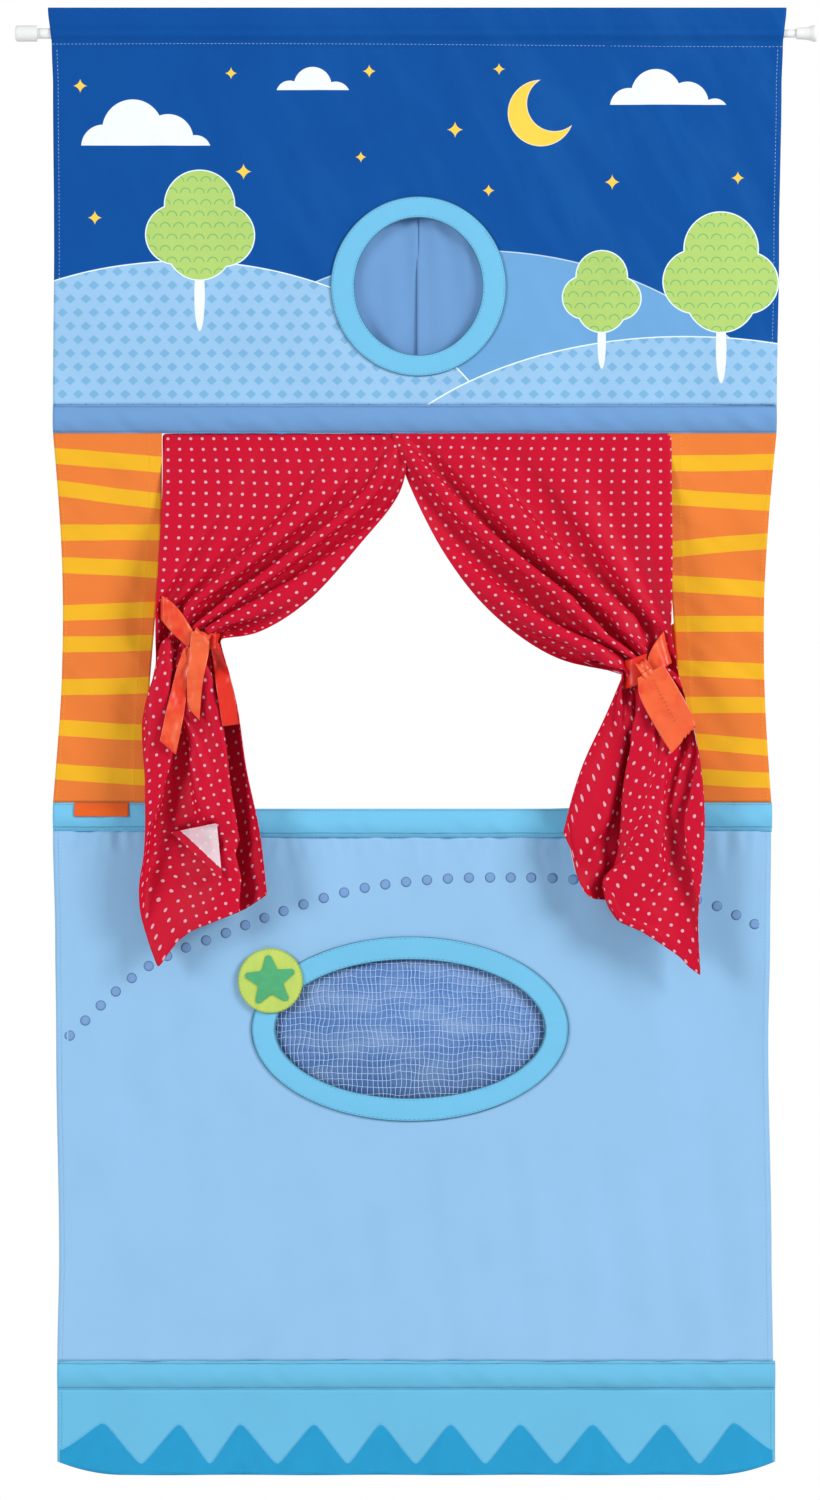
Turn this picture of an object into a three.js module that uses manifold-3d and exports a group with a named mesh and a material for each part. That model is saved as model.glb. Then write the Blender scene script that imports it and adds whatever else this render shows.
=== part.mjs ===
// A doorway puppet theatre: a fabric front with a curtained stage, hung in a doorway on a tension rod.
// Millimetres. +X runs along the rod from the left pad to the right pad, +Z is up, and the audience
// sits on the -Y side. The origin is the centre of the left pad's flat face.
import * as THREE from 'three';
import { mergeVertices } from 'three/addons/utils/BufferGeometryUtils.js';
import Module from 'manifold-3d';

const wasm = await Module();
wasm.setup();

// The tension rod
const doorway_width = 765;
const outer_tube_diameter = 10;
const inner_tube_diameter = 8;
const tube_wall = 0.6;
const outer_tube_end = 440;
const tube_ring_length = 6;
const left_pad_diameter = 15.5;
const left_pad_length = 21;
const right_pad_diameter = 16;
const right_pad_neck_diameter = 11;
const right_pad_length = 19;
const pad_face_thickness = 4;
const pad_rounding = 2.5;
const stop_plug_length = 8;
const plug_head_length = 4;
const plug_stem_length = 16;
const plug_stem_diameter = 6;
const spring_length = 60;
const spring_diameter = 7.2;
const spring_wire = 1;
const spring_coils = 11;

// Clearances between pieces that touch, and between pieces that slide
const seat_gap = 0.3;
const running_gap = 0.3;
const cut_overrun = 20;

// The cloth front: its edges, and the height of each part from the rod down
const cloth_left = 36;
const cloth_right_margin = 38;
const cloth_width = doorway_width - cloth_left - cloth_right_margin;
const cloth_thickness = 1.2;
const heading_height = 24.8;
const pocket_depth = 12;
const header_drop = 354.5;
const band_height = 26.7;
const band_depth = 11;
const band_wall = 1;
const stage_height = 352.6;
const lower_height = 506;
const flounce_height = 81.6;
const dowel_diameter = 8;
const dowel_end_gap = 4;

// How far each edge of a cloth stands inside the nominal width, from its top to its foot
const header_left_inset_shares = [-0.007, -0.0017, 0, 0.0015, 0];
const header_right_inset_shares = [-0.0137, -0.0087, -0.007, -0.0035, 0];
const header_edge_height_shares = [0, 0.096, 0.2, 0.6, 1];
const lower_left_inset_shares = [0, 0.003, 0.0045, 0.0085, 0.006];
const lower_right_inset_shares = [0.0075, 0.009, 0.0115, 0.007, 0.005];
const even_height_shares = [0, 0.2, 0.4, 0.8, 1];
const sill_inset_shares = [0, 0.0065];
const hem_inset_shares = [0.006, 0.002];
const side_draw_in = 9.6;
const right_pillar_foot_inset = 5;

// The round window
const window_right_of_middle = 3.5;
const window_drop = 241.6;
const window_inner_width = 122;
const window_inner_height = 130.8;
const window_ring_side = 23;
const window_ring_top = 20.6;
const window_outer_width = window_inner_width + 2 * window_ring_side;
const window_outer_height = window_inner_height + 2 * window_ring_top;
const applique_thickness = 1.5;
const sewn_overlap = 3;
const flap_beyond_window = 11;
const flap_sag = 8;
const flap_meeting_gap = 0.5;

// The striped pillars
const pillar_top_width = 104;
const left_pillar_foot_width = 87;
const right_pillar_foot_width = 92;

// The stage curtains, and the sections that their cloth passes from the top seam to its foot.
// Each section runs from the outer edge to the opening edge: outer across, outer down, inner across,
// inner down, across as a share of the curtain's width and down as a share of its drop.
const left_curtain_width = 236;
const curtain_overlap = 17;
const right_curtain_width = cloth_width - 2 * pillar_top_width + curtain_overlap - left_curtain_width;
const curtain_drop = 516;
const curtain_pillar_gap = 0.6;
const pleat_depth = 4.6;
const pleat_count = 6;
const curtain_stand_off = 13;
const left_section_shares = [
  [0, 0, 1, 0],
  [0, 0.052, 0.994, 0.052],
  [0, 0.104, 0.96, 0.107],
  [-0.004, 0.15, 0.89, 0.154],
  [-0.008, 0.193, 0.8, 0.206],
  [-0.013, 0.233, 0.705, 0.259],
  [-0.018, 0.274, 0.596, 0.309],
  [-0.022, 0.311, 0.479, 0.352],
  [-0.025, 0.344, 0.332, 0.373],
  [-0.026, 0.381, 0.22, 0.382],
  [-0.026, 0.422, 0.216, 0.424],
  [-0.034, 0.474, 0.257, 0.493],
  [-0.067, 0.548, 0.301, 0.563],
  [-0.079, 0.622, 0.341, 0.641],
  [-0.069, 0.706, 0.39, 0.719],
  [-0.071, 0.789, 0.414, 0.77],
  [-0.097, 0.857, 0.418, 0.804],
  [-0.067, 0.919, 0.422, 0.83],
  [-0.017, 0.989, 0.424, 0.854],
];
const right_section_shares = [
  [0, 0, 1, 0],
  [0, 0.052, 0.967, 0.052],
  [0, 0.107, 0.92, 0.111],
  [0, 0.159, 0.862, 0.172],
  [0, 0.211, 0.79, 0.237],
  [0, 0.259, 0.696, 0.3],
  [0, 0.304, 0.572, 0.359],
  [0, 0.344, 0.428, 0.409],
  [-0.002, 0.381, 0.283, 0.437],
  [-0.007, 0.419, 0.174, 0.445],
  [-0.036, 0.465, 0.172, 0.479],
  [-0.072, 0.52, 0.236, 0.53],
  [-0.098, 0.576, 0.29, 0.581],
  [-0.116, 0.641, 0.337, 0.637],
  [-0.118, 0.715, 0.362, 0.669],
  [-0.118, 0.793, 0.375, 0.693],
  [-0.112, 0.869, 0.384, 0.711],
  [-0.089, 0.957, 0.39, 0.728],
  [-0.104, 1, 0.393, 0.738],
];
// How far the foot hangs below the straight line between its corners, across the curtain
const left_foot_shares = [0, -0.028, -0.03, -0.012, 0];
const right_foot_shares = [0, 0.015, 0.05, 0.085, 0];
const curtain_columns = 28;
const curtain_rows = 18;

// The ribbons that tie the curtains back, where they cross the curtains' sections
const band_section_share = 0.43;
const knot_section_share = 0.49;
const wrap_section_share = 0.528;
const ribbon_width = 20;
const wrap_width = 15;
const wrap_turn_radius = 4;
const ribbon_thickness = 1;
const ribbon_ease = 0.5;
const band_on_pillar = 10;
const left_knot_share = 0.73;
const right_knot_share = 0.56;
const knot_meeting_share = 0.035;
const knot_width = 19;
const knot_height = 24;
const knot_depth = 11;
const left_tails = [
  { name: 'tie_left_tail_back', length: 80, spread: 26, top_width: 15, foot_width: 17 },
  { name: 'tie_left_tail_side', length: 90, spread: -24, top_width: 15, foot_width: 19 },
  { name: 'tie_left_tail_front', length: 72, spread: -2, top_width: 16, foot_width: 12.5 },
];
const right_tails = [
  { name: 'tie_right_tail', length: 66, spread: 34, top_width: 24, foot_width: 32 },
];
const tail_layer_gap = 0.5;

// The label, the oval window, the star and the flounce
const label_from_left = 20.5;
const label_width = 52;
const label_height = 13;
const label_thickness = 0.8;
const oval_left_of_middle = 4.5;
const oval_drop = 188.9;
const oval_inner_width = 256;
const oval_inner_height = 132;
const oval_ring_side = 24;
const oval_ring_top = 22.5;
const oval_outer_width = oval_inner_width + 2 * oval_ring_side;
const oval_outer_height = oval_inner_height + 2 * oval_ring_top;
const net_pitch = 19;
const net_strand = 2.2;
const net_thickness = 1;
const net_waver_share = 0.16;
const disc_diameter = 62;
const disc_inside_oval_end = 18.7;
const disc_below_oval_top = 42.4;
const star_diameter = 50;
const star_waist_share = 0.44;
const star_tilt_degrees = 5;
const lower_fold_depth = 2.4;
const lower_fold_count = 5;
const flounce_fold_depth = 2.4;
const flounce_fold_count = 5;
const flounce_rise = 13;
const flounce_corner_share = 0.09;
const zigzag_count = 10;
const zigzag_height = 42;
const zigzag_foot = 10;
const zigzag_thickness = 0.8;

const colours = {
  white_steel: [0xf2f1ee, 0.35, 0.2],
  rubber: [0xecebe7, 0.6, 0],
  nylon: [0xdedcd6, 0.5, 0],
  spring_steel: [0x9a9ca0, 0.3, 1],
  header_blue: [0x0a5ba5, 0.85, 0],
  pelmet_blue: [0x73a2d6, 0.85, 0],
  turquoise: [0x7fcbe9, 0.85, 0],
  flap_blue: [0x7ba8d9, 0.85, 0],
  pillar_orange: [0xf18542, 0.85, 0],
  curtain_red: [0xcc1034, 0.8, 0],
  ribbon_red: [0xf04e1c, 0.6, 0],
  label_orange: [0xf07820, 0.6, 0],
  lower_blue: [0xa0cdee, 0.85, 0],
  net_blue: [0xa5c6e8, 0.8, 0],
  backing_blue: [0x5582c3, 0.85, 0],
  disc_lime: [0xbedb82, 0.85, 0],
  star_green: [0x4fb57a, 0.85, 0],
  zigzag_blue: [0x16a2d6, 0.85, 0],
  dowel_white: [0xe8e6e0, 0.5, 0],
};

// Heights worked out from the parts' own heights, from the rod's axis down
const header_foot = -header_drop;
const pelmet_top = header_foot - seat_gap;
const pelmet_foot = pelmet_top - band_height;
const stage_top = pelmet_foot - seat_gap;
const stage_foot = stage_top - stage_height;
const sill_top = stage_foot - seat_gap;
const sill_foot = sill_top - band_height;
const lower_top = sill_foot - seat_gap;
const lower_foot = lower_top - lower_height;
const hem_top = lower_foot - seat_gap;
const hem_foot = hem_top - band_height;
const flounce_top = hem_foot - seat_gap;
const cloth_right = cloth_left + cloth_width;
const cloth_middle = cloth_left + cloth_width / 2;
const cloth_half = cloth_thickness / 2;
const outer_tube_radius = outer_tube_diameter / 2;
const inner_tube_radius = inner_tube_diameter / 2;
const outer_bore_radius = outer_tube_radius - tube_wall;

const theatre = new THREE.Group();

// Adds one named piece to the theatre, its faces turned outwards.
function piece(name, geometry, colour) {
  const [color, roughness, metalness] = colours[colour];
  const material = new THREE.MeshStandardMaterial({ color, roughness, metalness });
  const mesh = new THREE.Mesh(facingOut(geometry), material);
  mesh.name = name;
  theatre.add(mesh);
}

// Six times the volume of a closed geometry, negative where its faces point inwards.
function signedVolume(geometry) {
  const at = geometry.attributes.position;
  const order = geometry.index;
  const corner = [new THREE.Vector3(), new THREE.Vector3(), new THREE.Vector3()];
  let sum = 0;
  for (let i = 0; i < order.count; i += 3) {
    corner.forEach((vertex, k) => vertex.fromBufferAttribute(at, order.getX(i + k)));
    sum += corner[0].dot(corner[1].clone().cross(corner[2]));
  }
  return sum;
}

function facingOut(geometry) {
  const plain = geometry.clone();
  plain.deleteAttribute('normal');
  plain.deleteAttribute('uv');
  const welded = mergeVertices(plain);
  if (signedVolume(welded) < 0) {
    const order = welded.index.array;
    for (let i = 0; i < order.length; i += 3) [order[i], order[i + 1]] = [order[i + 1], order[i]];
  }
  return welded;
}

function solidOf(geometry) {
  const closed = facingOut(geometry);
  return new wasm.Manifold(new wasm.Mesh({
    numProp: 3,
    vertProperties: new Float32Array(closed.attributes.position.array),
    triVerts: new Uint32Array(closed.index.array),
  }));
}

function geometryOf(solid) {
  const { vertProperties, triVerts } = solid.getMesh();
  const geometry = new THREE.BufferGeometry();
  geometry.setAttribute('position', new THREE.BufferAttribute(new Float32Array(vertProperties), 3));
  geometry.setIndex([...triVerts]);
  return geometry;
}

// A curve through chosen points, as the points of an outline.
function smooth(points, steps) {
  return new THREE.SplineCurve(points.map(([x, z]) => new THREE.Vector2(x, z))).getPoints(steps);
}

function oval(x, z, width, height, steps) {
  return new THREE.EllipseCurve(x, z, width / 2, height / 2).getPoints(steps).slice(1);
}

// A flat piece whose outline is seen from the audience, between two planes across Y.
function slab(shape, front, back) {
  const geometry = new THREE.ExtrudeGeometry(shape, { depth: back - front, bevelEnabled: false });
  geometry.rotateX(Math.PI / 2);
  return geometry.translate(0, back, 0);
}

// A long piece along X whose section is drawn across (Y, Z).
function beam(section, left, right) {
  const geometry = new THREE.ExtrudeGeometry(section, { depth: right - left, bevelEnabled: false });
  const turn = new THREE.Matrix4().makeBasis(
    new THREE.Vector3(0, 1, 0), new THREE.Vector3(0, 0, 1), new THREE.Vector3(1, 0, 0));
  return geometry.applyMatrix4(turn).translate(left, 0, 0);
}

// A piece turned about the rod's axis, from points of its profile along X and out from the axis.
function turned(profile, sides, z = 0) {
  const points = profile.map(([x, radius]) => new THREE.Vector2(radius, x));
  return new THREE.LatheGeometry(points, sides).rotateZ(-Math.PI / 2).translate(0, 0, z);
}

function pipe(left, right, outer, inner, sides) {
  return turned([[left, inner], [left, outer], [right, outer], [right, inner], [left, inner]], sides);
}

function bar(left, right, radius, z, sides) {
  return turned([[left, 0], [left, radius], [right, radius], [right, 0]], sides, z);
}

// A cloth of even thickness: middle(u, v) gives its middle surface, u across and v down.
function cloth(columns, rows, thickness, middle) {
  const positions = [];
  const order = [];
  const layer = (columns + 1) * (rows + 1);
  for (const side of [-1, 1]) {
    for (let row = 0; row <= rows; row++) {
      for (let column = 0; column <= columns; column++) {
        const at = middle(column / columns, row / rows);
        positions.push(at.x, at.y + side * thickness / 2, at.z);
      }
    }
  }
  const quad = (a, b, c, d) => order.push(a, b, c, a, c, d);
  const index = (column, row) => row * (columns + 1) + column;
  for (let row = 0; row < rows; row++) {
    for (let column = 0; column < columns; column++) {
      const corners = [index(column, row), index(column + 1, row),
        index(column + 1, row + 1), index(column, row + 1)];
      quad(...corners);
      quad(...corners.reverse().map((corner) => corner + layer));
    }
  }
  const wall = (a, b) => quad(b, a, a + layer, b + layer);
  for (let column = 0; column < columns; column++) {
    wall(index(column, 0), index(column + 1, 0));
    wall(index(column + 1, rows), index(column, rows));
  }
  for (let row = 0; row < rows; row++) {
    wall(index(0, row + 1), index(0, row));
    wall(index(columns, row), index(columns, row + 1));
  }
  const geometry = new THREE.BufferGeometry();
  geometry.setAttribute('position', new THREE.Float32BufferAttribute(positions, 3));
  geometry.setIndex(order);
  return geometry;
}

// A flat ribbon that follows a path; across is the direction that its width leans to.
function ribbon(points, across, start_width, end_width, steps) {
  const path = new THREE.CatmullRomCurve3(points);
  const positions = [];
  const order = [];
  for (let step = 0; step <= steps; step++) {
    const share = step / steps;
    const at = path.getPoint(share);
    const along = path.getTangent(share);
    const wide = across.clone().addScaledVector(along, -across.dot(along)).normalize();
    const out = wide.clone().cross(along).normalize();
    const half = THREE.MathUtils.lerp(start_width, end_width, share) / 2;
    for (const [w, o] of [[-1, -1], [1, -1], [1, 1], [-1, 1]]) {
      const corner = at.clone().addScaledVector(wide, w * half);
      positions.push(...corner.addScaledVector(out, o * ribbon_thickness / 2).toArray());
    }
    for (let side = 0; step > 0 && side < 4; side++) {
      const here = 4 * step + side;
      const next = 4 * step + (side + 1) % 4;
      order.push(here - 4, next - 4, next, here - 4, next, here);
    }
  }
  const last = 4 * steps;
  order.push(0, 2, 1, 0, 3, 2, last, last + 1, last + 2, last, last + 2, last + 3);
  const geometry = new THREE.BufferGeometry();
  geometry.setAttribute('position', new THREE.Float32BufferAttribute(positions, 3));
  geometry.setIndex(order);
  return geometry;
}

// The edge of a cloth as outline points: heights are shares of its drop, insets of the width.
function edge(top, height, height_shares, inset_shares, side) {
  const start = side < 0 ? cloth_left : cloth_right;
  return height_shares.map((down, i) => [start - side * inset_shares[i] * cloth_width, top - down * height]);
}

class Helix extends THREE.Curve {
  constructor(left, right, radius, coils) {
    super();
    Object.assign(this, { left, right, radius, coils });
  }

  getPoint(share) {
    const angle = 2 * Math.PI * this.coils * share;
    const x = THREE.MathUtils.lerp(this.left, this.right, share);
    return new THREE.Vector3(x, this.radius * Math.cos(angle), this.radius * Math.sin(angle));
  }
}

// Tension rod: two tubes, the spring between them, and a rubber pad on each end
function tensionRod() {
  const sides = 24;
  const left_radius = left_pad_diameter / 2;
  const right_radius = right_pad_diameter / 2;
  const tube_start = pad_face_thickness + seat_gap;
  const inner_bore = inner_tube_radius - tube_wall;
  const tube_end = doorway_width - pad_face_thickness - seat_gap;
  const ring_start = outer_tube_end + seat_gap;

  piece('rod_outer_tube', pipe(tube_start, outer_tube_end, outer_tube_radius, outer_bore_radius, sides),
    'white_steel');
  piece('rod_tube_ring', pipe(ring_start, ring_start + tube_ring_length, outer_tube_radius,
    inner_tube_radius + running_gap, sides), 'nylon');

  const plug_radius = outer_bore_radius - running_gap;
  const stop_face = tube_start + stop_plug_length;
  piece('rod_stop_plug', bar(tube_start, stop_face, plug_radius, 0, sides), 'nylon');

  const spring_start = stop_face + seat_gap + spring_wire;
  const spring_end = spring_start + spring_length;
  const wire = new THREE.Shape(oval(0, 0, spring_wire, spring_wire, 5));
  const helix = new Helix(spring_start, spring_end, (spring_diameter - spring_wire) / 2, spring_coils);
  piece('rod_spring', new THREE.ExtrudeGeometry(wire, {
    steps: spring_coils * 7, bevelEnabled: false, extrudePath: helix,
  }), 'spring_steel');

  const head = spring_end + spring_wire + seat_gap;
  const inner_tube_start = head + plug_head_length + seat_gap;
  const stem_radius = plug_stem_diameter / 2;
  piece('rod_inner_plug', turned([
    [head, 0], [head, plug_radius], [head + plug_head_length, plug_radius],
    [head + plug_head_length, stem_radius], [inner_tube_start + plug_stem_length, stem_radius],
    [inner_tube_start + plug_stem_length, 0],
  ], sides), 'nylon');
  piece('rod_inner_tube', pipe(inner_tube_start, tube_end, inner_tube_radius, inner_bore, sides),
    'white_steel');

  const left_round = smooth([[0, left_radius - pad_rounding],
    [pad_rounding * 0.3, left_radius - pad_rounding * 0.3], [pad_rounding, left_radius]], 5)
    .map((p) => [p.x, p.y]);
  piece('rod_left_cap', turned([
    [0, 0], ...left_round, [left_pad_length, left_radius],
    [left_pad_length, outer_tube_radius + seat_gap], [pad_face_thickness, outer_tube_radius + seat_gap],
    [pad_face_thickness, 0],
  ], sides), 'rubber');

  const right_start = doorway_width - right_pad_length;
  const neck_radius = right_pad_neck_diameter / 2;
  const flare = smooth([[right_start, neck_radius],
    [right_start + right_pad_length * 0.55, neck_radius * 1.12],
    [doorway_width - pad_rounding, right_radius], [doorway_width, right_radius - pad_rounding * 0.3]], 8)
    .map((p) => [p.x, p.y]);
  piece('rod_right_cap', turned([
    [doorway_width - pad_face_thickness, 0],
    [doorway_width - pad_face_thickness, inner_tube_radius + seat_gap],
    [right_start, inner_tube_radius + seat_gap], ...flare, [doorway_width, 0],
  ], sides), 'rubber');
}

// The header's section: two layers above the rod, a sleeve round it, one layer below the seam
function headerSection() {
  const sleeve_radius = outer_tube_radius + seat_gap;
  const outside_radius = sleeve_radius + cloth_thickness;
  const pocket_foot = pocket_depth - cloth_thickness;
  const dip = Math.asin(sleeve_radius / pocket_foot);
  const shoulder = Math.acos(cloth_thickness / outside_radius);
  const round = new THREE.EllipseCurve(0, 0, outside_radius, outside_radius, -dip, shoulder).getPoints(8);
  const back = [
    new THREE.Vector2(cloth_half, header_foot),
    new THREE.Vector2(cloth_half, -pocket_depth - cloth_thickness),
    new THREE.Vector2(cloth_thickness, -pocket_depth),
    ...round,
    new THREE.Vector2(cloth_thickness, heading_height),
  ];
  const front = back.map((p) => new THREE.Vector2(-p.x, p.y)).reverse();
  const section = new THREE.Shape([...back, ...front]);
  const arch = new THREE.EllipseCurve(0, 0, sleeve_radius, sleeve_radius, -dip, Math.PI + dip).getPoints(20);
  section.holes.push(new THREE.Path([...arch, new THREE.Vector2(0, -pocket_foot)]));
  return section;
}

function header() {
  const height = heading_height + header_drop;
  const left = edge(heading_height, height, header_edge_height_shares, header_left_inset_shares, -1);
  const right = edge(heading_height, height, header_edge_height_shares, header_right_inset_shares, 1);
  const front_view = new THREE.Shape([...smooth(left, 12), ...smooth(right, 12).reverse()]);
  const window_x = cloth_middle + window_right_of_middle;
  const hole = new THREE.Shape(oval(window_x, -window_drop, window_inner_width + 2 * sewn_overlap,
    window_inner_height + 2 * sewn_overlap, 48));
  const full = solidOf(beam(headerSection(), 0, doorway_width));
  const sides = solidOf(slab(front_view, -cut_overrun, cut_overrun));
  const window = solidOf(slab(hole, -cut_overrun, cut_overrun));
  piece('header_panel', geometryOf(full.intersect(sides).subtract(window)), 'header_blue');

  const ring = new THREE.Shape(oval(window_x, -window_drop, window_outer_width, window_outer_height, 48));
  ring.holes.push(new THREE.Path(oval(window_x, -window_drop, window_inner_width, window_inner_height, 48)));
  const ring_back = -cloth_half - seat_gap;
  piece('porthole_ring', slab(ring, ring_back - applique_thickness, ring_back), 'turquoise');

  // Each flap is sewn along its outer edge, sags back and meets the other at the middle.
  const reach = window_inner_width / 2 + flap_beyond_window;
  const tall = window_inner_height / 2 + flap_beyond_window;
  for (const [name, side] of [['porthole_flap_left', -1], ['porthole_flap_right', 1]]) {
    piece(name, cloth(10, 3, cloth_thickness, (u, v) => new THREE.Vector3(
      window_x + side * (reach - u * (reach - flap_meeting_gap / 2)),
      cloth_half + seat_gap + cloth_half + flap_sag * Math.sin(u * Math.PI / 2),
      -window_drop + tall - 2 * tall * v,
    )), 'flap_blue');
  }
}

// How far a band's cloth stands out from the middle plane at a height in the band
function bandBulge(height_in_band) {
  const share = 2 * height_in_band / band_height - 1;
  return cloth_half + (band_depth / 2 - cloth_half) * (1 - share * share);
}

// A cloth sleeve with open ends and the dowel that stiffens it
function band(name, dowel_name, foot, insets, colour) {
  const left = cloth_left + insets[0] * cloth_width;
  const right = cloth_right - insets[1] * cloth_width;
  const side = (sign, inset) => {
    const points = [];
    for (let i = 0; i <= 8; i++) {
      const up = inset * 2 + (band_height - 4 * inset) * i / 8;
      points.push(new THREE.Vector2(sign * (bandBulge(up) - inset), foot + up));
    }
    return sign > 0 ? points : points.reverse();
  };
  const section = new THREE.Shape([...side(1, 0), ...side(-1, 0)]);
  section.holes.push(new THREE.Path([...side(1, band_wall), ...side(-1, band_wall)]));
  piece(name, beam(section, left, right), colour);
  piece(dowel_name, bar(left + dowel_end_gap, right - dowel_end_gap, dowel_diameter / 2,
    foot + band_height / 2, 16), 'dowel_white');
}

// How far the pillars' outer edges are drawn in by the tied curtains, down the stage
function drawIn(down) {
  return side_draw_in * Math.sin(Math.PI * down);
}

function pillars() {
  for (const [name, side, foot_width, foot_inset] of [
    ['pillar_left', -1, left_pillar_foot_width, 0],
    ['pillar_right', 1, right_pillar_foot_width, right_pillar_foot_inset],
  ]) {
    const outer = [];
    const inner = [];
    for (let i = 0; i <= 8; i++) {
      const down = i / 8;
      const start = side < 0 ? cloth_left : cloth_right;
      const inset = drawIn(down) + foot_inset * down;
      const narrowing = (pillar_top_width - foot_width) * THREE.MathUtils.smoothstep(down, 0.15, 0.9);
      outer.push(new THREE.Vector2(start - side * inset, stage_top - stage_height * down));
      inner.push(new THREE.Vector2(start - side * (pillar_top_width - narrowing), outer[i].y));
    }
    const strip = slab(new THREE.Shape([...outer, ...inner.reverse()]), -cloth_half, cloth_half);
    piece(name, strip, 'pillar_orange');
  }
}

// The tied curtains
const left_curtain = {
  side: -1, width: left_curtain_width, sections: left_section_shares, foot: left_foot_shares, lift: 1,
  knot: left_knot_share,
};
const right_curtain = {
  side: 1, width: right_curtain_width, sections: right_section_shares, foot: right_foot_shares, lift: -1,
  knot: right_knot_share,
};

function sharePath(rows, across, down) {
  return new THREE.CatmullRomCurve3(rows.map((row) => new THREE.Vector3(row[across], row[down], 0)));
}

for (const curtain of [left_curtain, right_curtain]) {
  curtain.outer_path = sharePath(curtain.sections, 0, 1);
  curtain.inner_path = sharePath(curtain.sections, 2, 3);
  curtain.foot_path = new THREE.CatmullRomCurve3(
    curtain.foot.map((drop, i) => new THREE.Vector3(i / (curtain.foot.length - 1), drop, 0)));
}

// The middle plane of a curtain, without its pleats: from the top seam it comes forward of the pillar
function curtainPlane(curtain, u, v) {
  const forward = THREE.MathUtils.smoothstep(v, 0.02, 0.62);
  const edge_share = THREE.MathUtils.lerp(0.55, 1, THREE.MathUtils.smoothstep(u, 0, 0.5));
  const settle = THREE.MathUtils.smoothstep(v, 0.5, 0.72);
  const stand = curtain_stand_off * forward * THREE.MathUtils.lerp(edge_share, 1, settle);
  return curtain.lift * (cloth_thickness - seat_gap / 2) - stand;
}

function pleatDepth(u, v) {
  const free_edge = 0.35 + 0.65 * Math.sin(Math.PI * Math.min(1, Math.max(0, u)));
  return pleat_depth * free_edge * THREE.MathUtils.smoothstep(v, 0.02, 0.45);
}

function curtainPoint(curtain, u, v) {
  const outer = curtain.outer_path.getPoint(v);
  const inner = curtain.inner_path.getPoint(v);
  const at = outer.lerp(inner, u);
  const foot = curtain.foot_path.getPoint(u).y * THREE.MathUtils.smoothstep(v, 0.7, 1);
  const seam = curtain.side < 0 ? cloth_left + pillar_top_width : cloth_right - pillar_top_width;
  const x = seam - curtain.side * (curtain_pillar_gap + at.x * curtain.width);
  const pleat = pleatDepth(u, v) * Math.sin(2 * Math.PI * pleat_count * u);
  return new THREE.Vector3(x, curtainPlane(curtain, u, v) + pleat, stage_top - (at.y + foot) * curtain_drop);
}

// A point in front of a curtain (side -1) or behind it (side 1), clear by a gap of every pleat that
// a ribbon there would cross
function besideCurtain(curtain, u, v, side, gap) {
  const at = curtainPoint(curtain, u, v);
  const around = ribbon_width / curtain_drop;
  let reach = -Infinity;
  for (const across of [-0.2, 0, 0.2]) {
    for (const down of [-around, 0, around]) {
      const near = THREE.MathUtils.clamp(u + across, 0, 1);
      const plane = curtainPlane(curtain, near, v + down);
      reach = Math.max(reach, side * plane + pleatDepth(near, v + down));
    }
  }
  at.y = side * (reach + cloth_half + gap);
  return at;
}

function curtains() {
  for (const [name, curtain] of [['curtain_left', left_curtain], ['curtain_right', right_curtain]]) {
    piece(name, cloth(curtain_columns, curtain_rows, cloth_thickness,
      (u, v) => curtainPoint(curtain, u, v)), 'curtain_red');
  }
}

// The ribbons: a band from the pillar to the knot, a wrap round the back, the knot and its tails
function ties() {
  const up = new THREE.Vector3(0, 0, 1);
  const sideways = new THREE.Vector3(1, 0, 0);
  const gap = seat_gap + ribbon_ease + ribbon_thickness / 2;
  for (const [curtain, name, tails] of [
    [left_curtain, 'tie_left', left_tails], [right_curtain, 'tie_right', right_tails],
  ]) {
    const tail_plane = curtainPlane(curtain, 1, 1) - pleat_depth - cloth_half - gap;
    const front = (u, v) => besideCurtain(curtain, u, v, -1, gap);
    const behind = (u, v) => besideCurtain(curtain, u, v, 1, gap);
    const start = front(0, band_section_share);
    start.x += curtain.side * band_on_pillar;
    start.y = -(cloth_half + seat_gap + ribbon_thickness / 2);
    const rising = front(0, band_section_share);
    rising.x += curtain.side * ribbon_ease;
    const beside_knot = curtain.knot - knot_meeting_share;
    piece(name + '_band', ribbon([
      start, rising, front(beside_knot * 0.5, (band_section_share + knot_section_share) / 2),
      front(beside_knot, knot_section_share),
    ], up, ribbon_width, ribbon_width, 10), 'ribbon_red');

    const round_edge = curtainPoint(curtain, 1, wrap_section_share);
    round_edge.x -= curtain.side * wrap_turn_radius;
    piece(name + '_wrap', ribbon([
      behind(0.04, wrap_section_share), behind(0.5, wrap_section_share),
      behind(1, wrap_section_share), round_edge, front(1, wrap_section_share),
      front(curtain.knot + knot_meeting_share, wrap_section_share),
    ], up, wrap_width, wrap_width, 18), 'ribbon_red');

    const knot = new THREE.SphereGeometry(0.5, 14, 10).scale(knot_width, knot_depth, knot_height);
    const under_knot = front(curtain.knot, knot_section_share);
    const knot_y = under_knot.y - ribbon_thickness / 2 - seat_gap - knot_depth / 2;
    knot.translate(under_knot.x, knot_y, under_knot.z);
    piece(name + '_knot', knot, 'ribbon_red');

    const top = under_knot.z - knot_height / 2 - seat_gap;
    tails.forEach((tail, layer) => {
      const y = tail_plane - (layer + 1) * (ribbon_thickness + tail_layer_gap);
      const point = (down) => new THREE.Vector3(
        under_knot.x + tail.spread * down ** 1.3, y, top - tail.length * down);
      piece(tail.name, ribbon([point(0), point(0.35), point(0.7), point(1)], sideways,
        tail.top_width, tail.foot_width, 8), 'ribbon_red');
    });
  }
}

// Centre of the oval window
const oval_x = cloth_middle - oval_left_of_middle;
const oval_z = lower_top - oval_drop;

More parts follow.
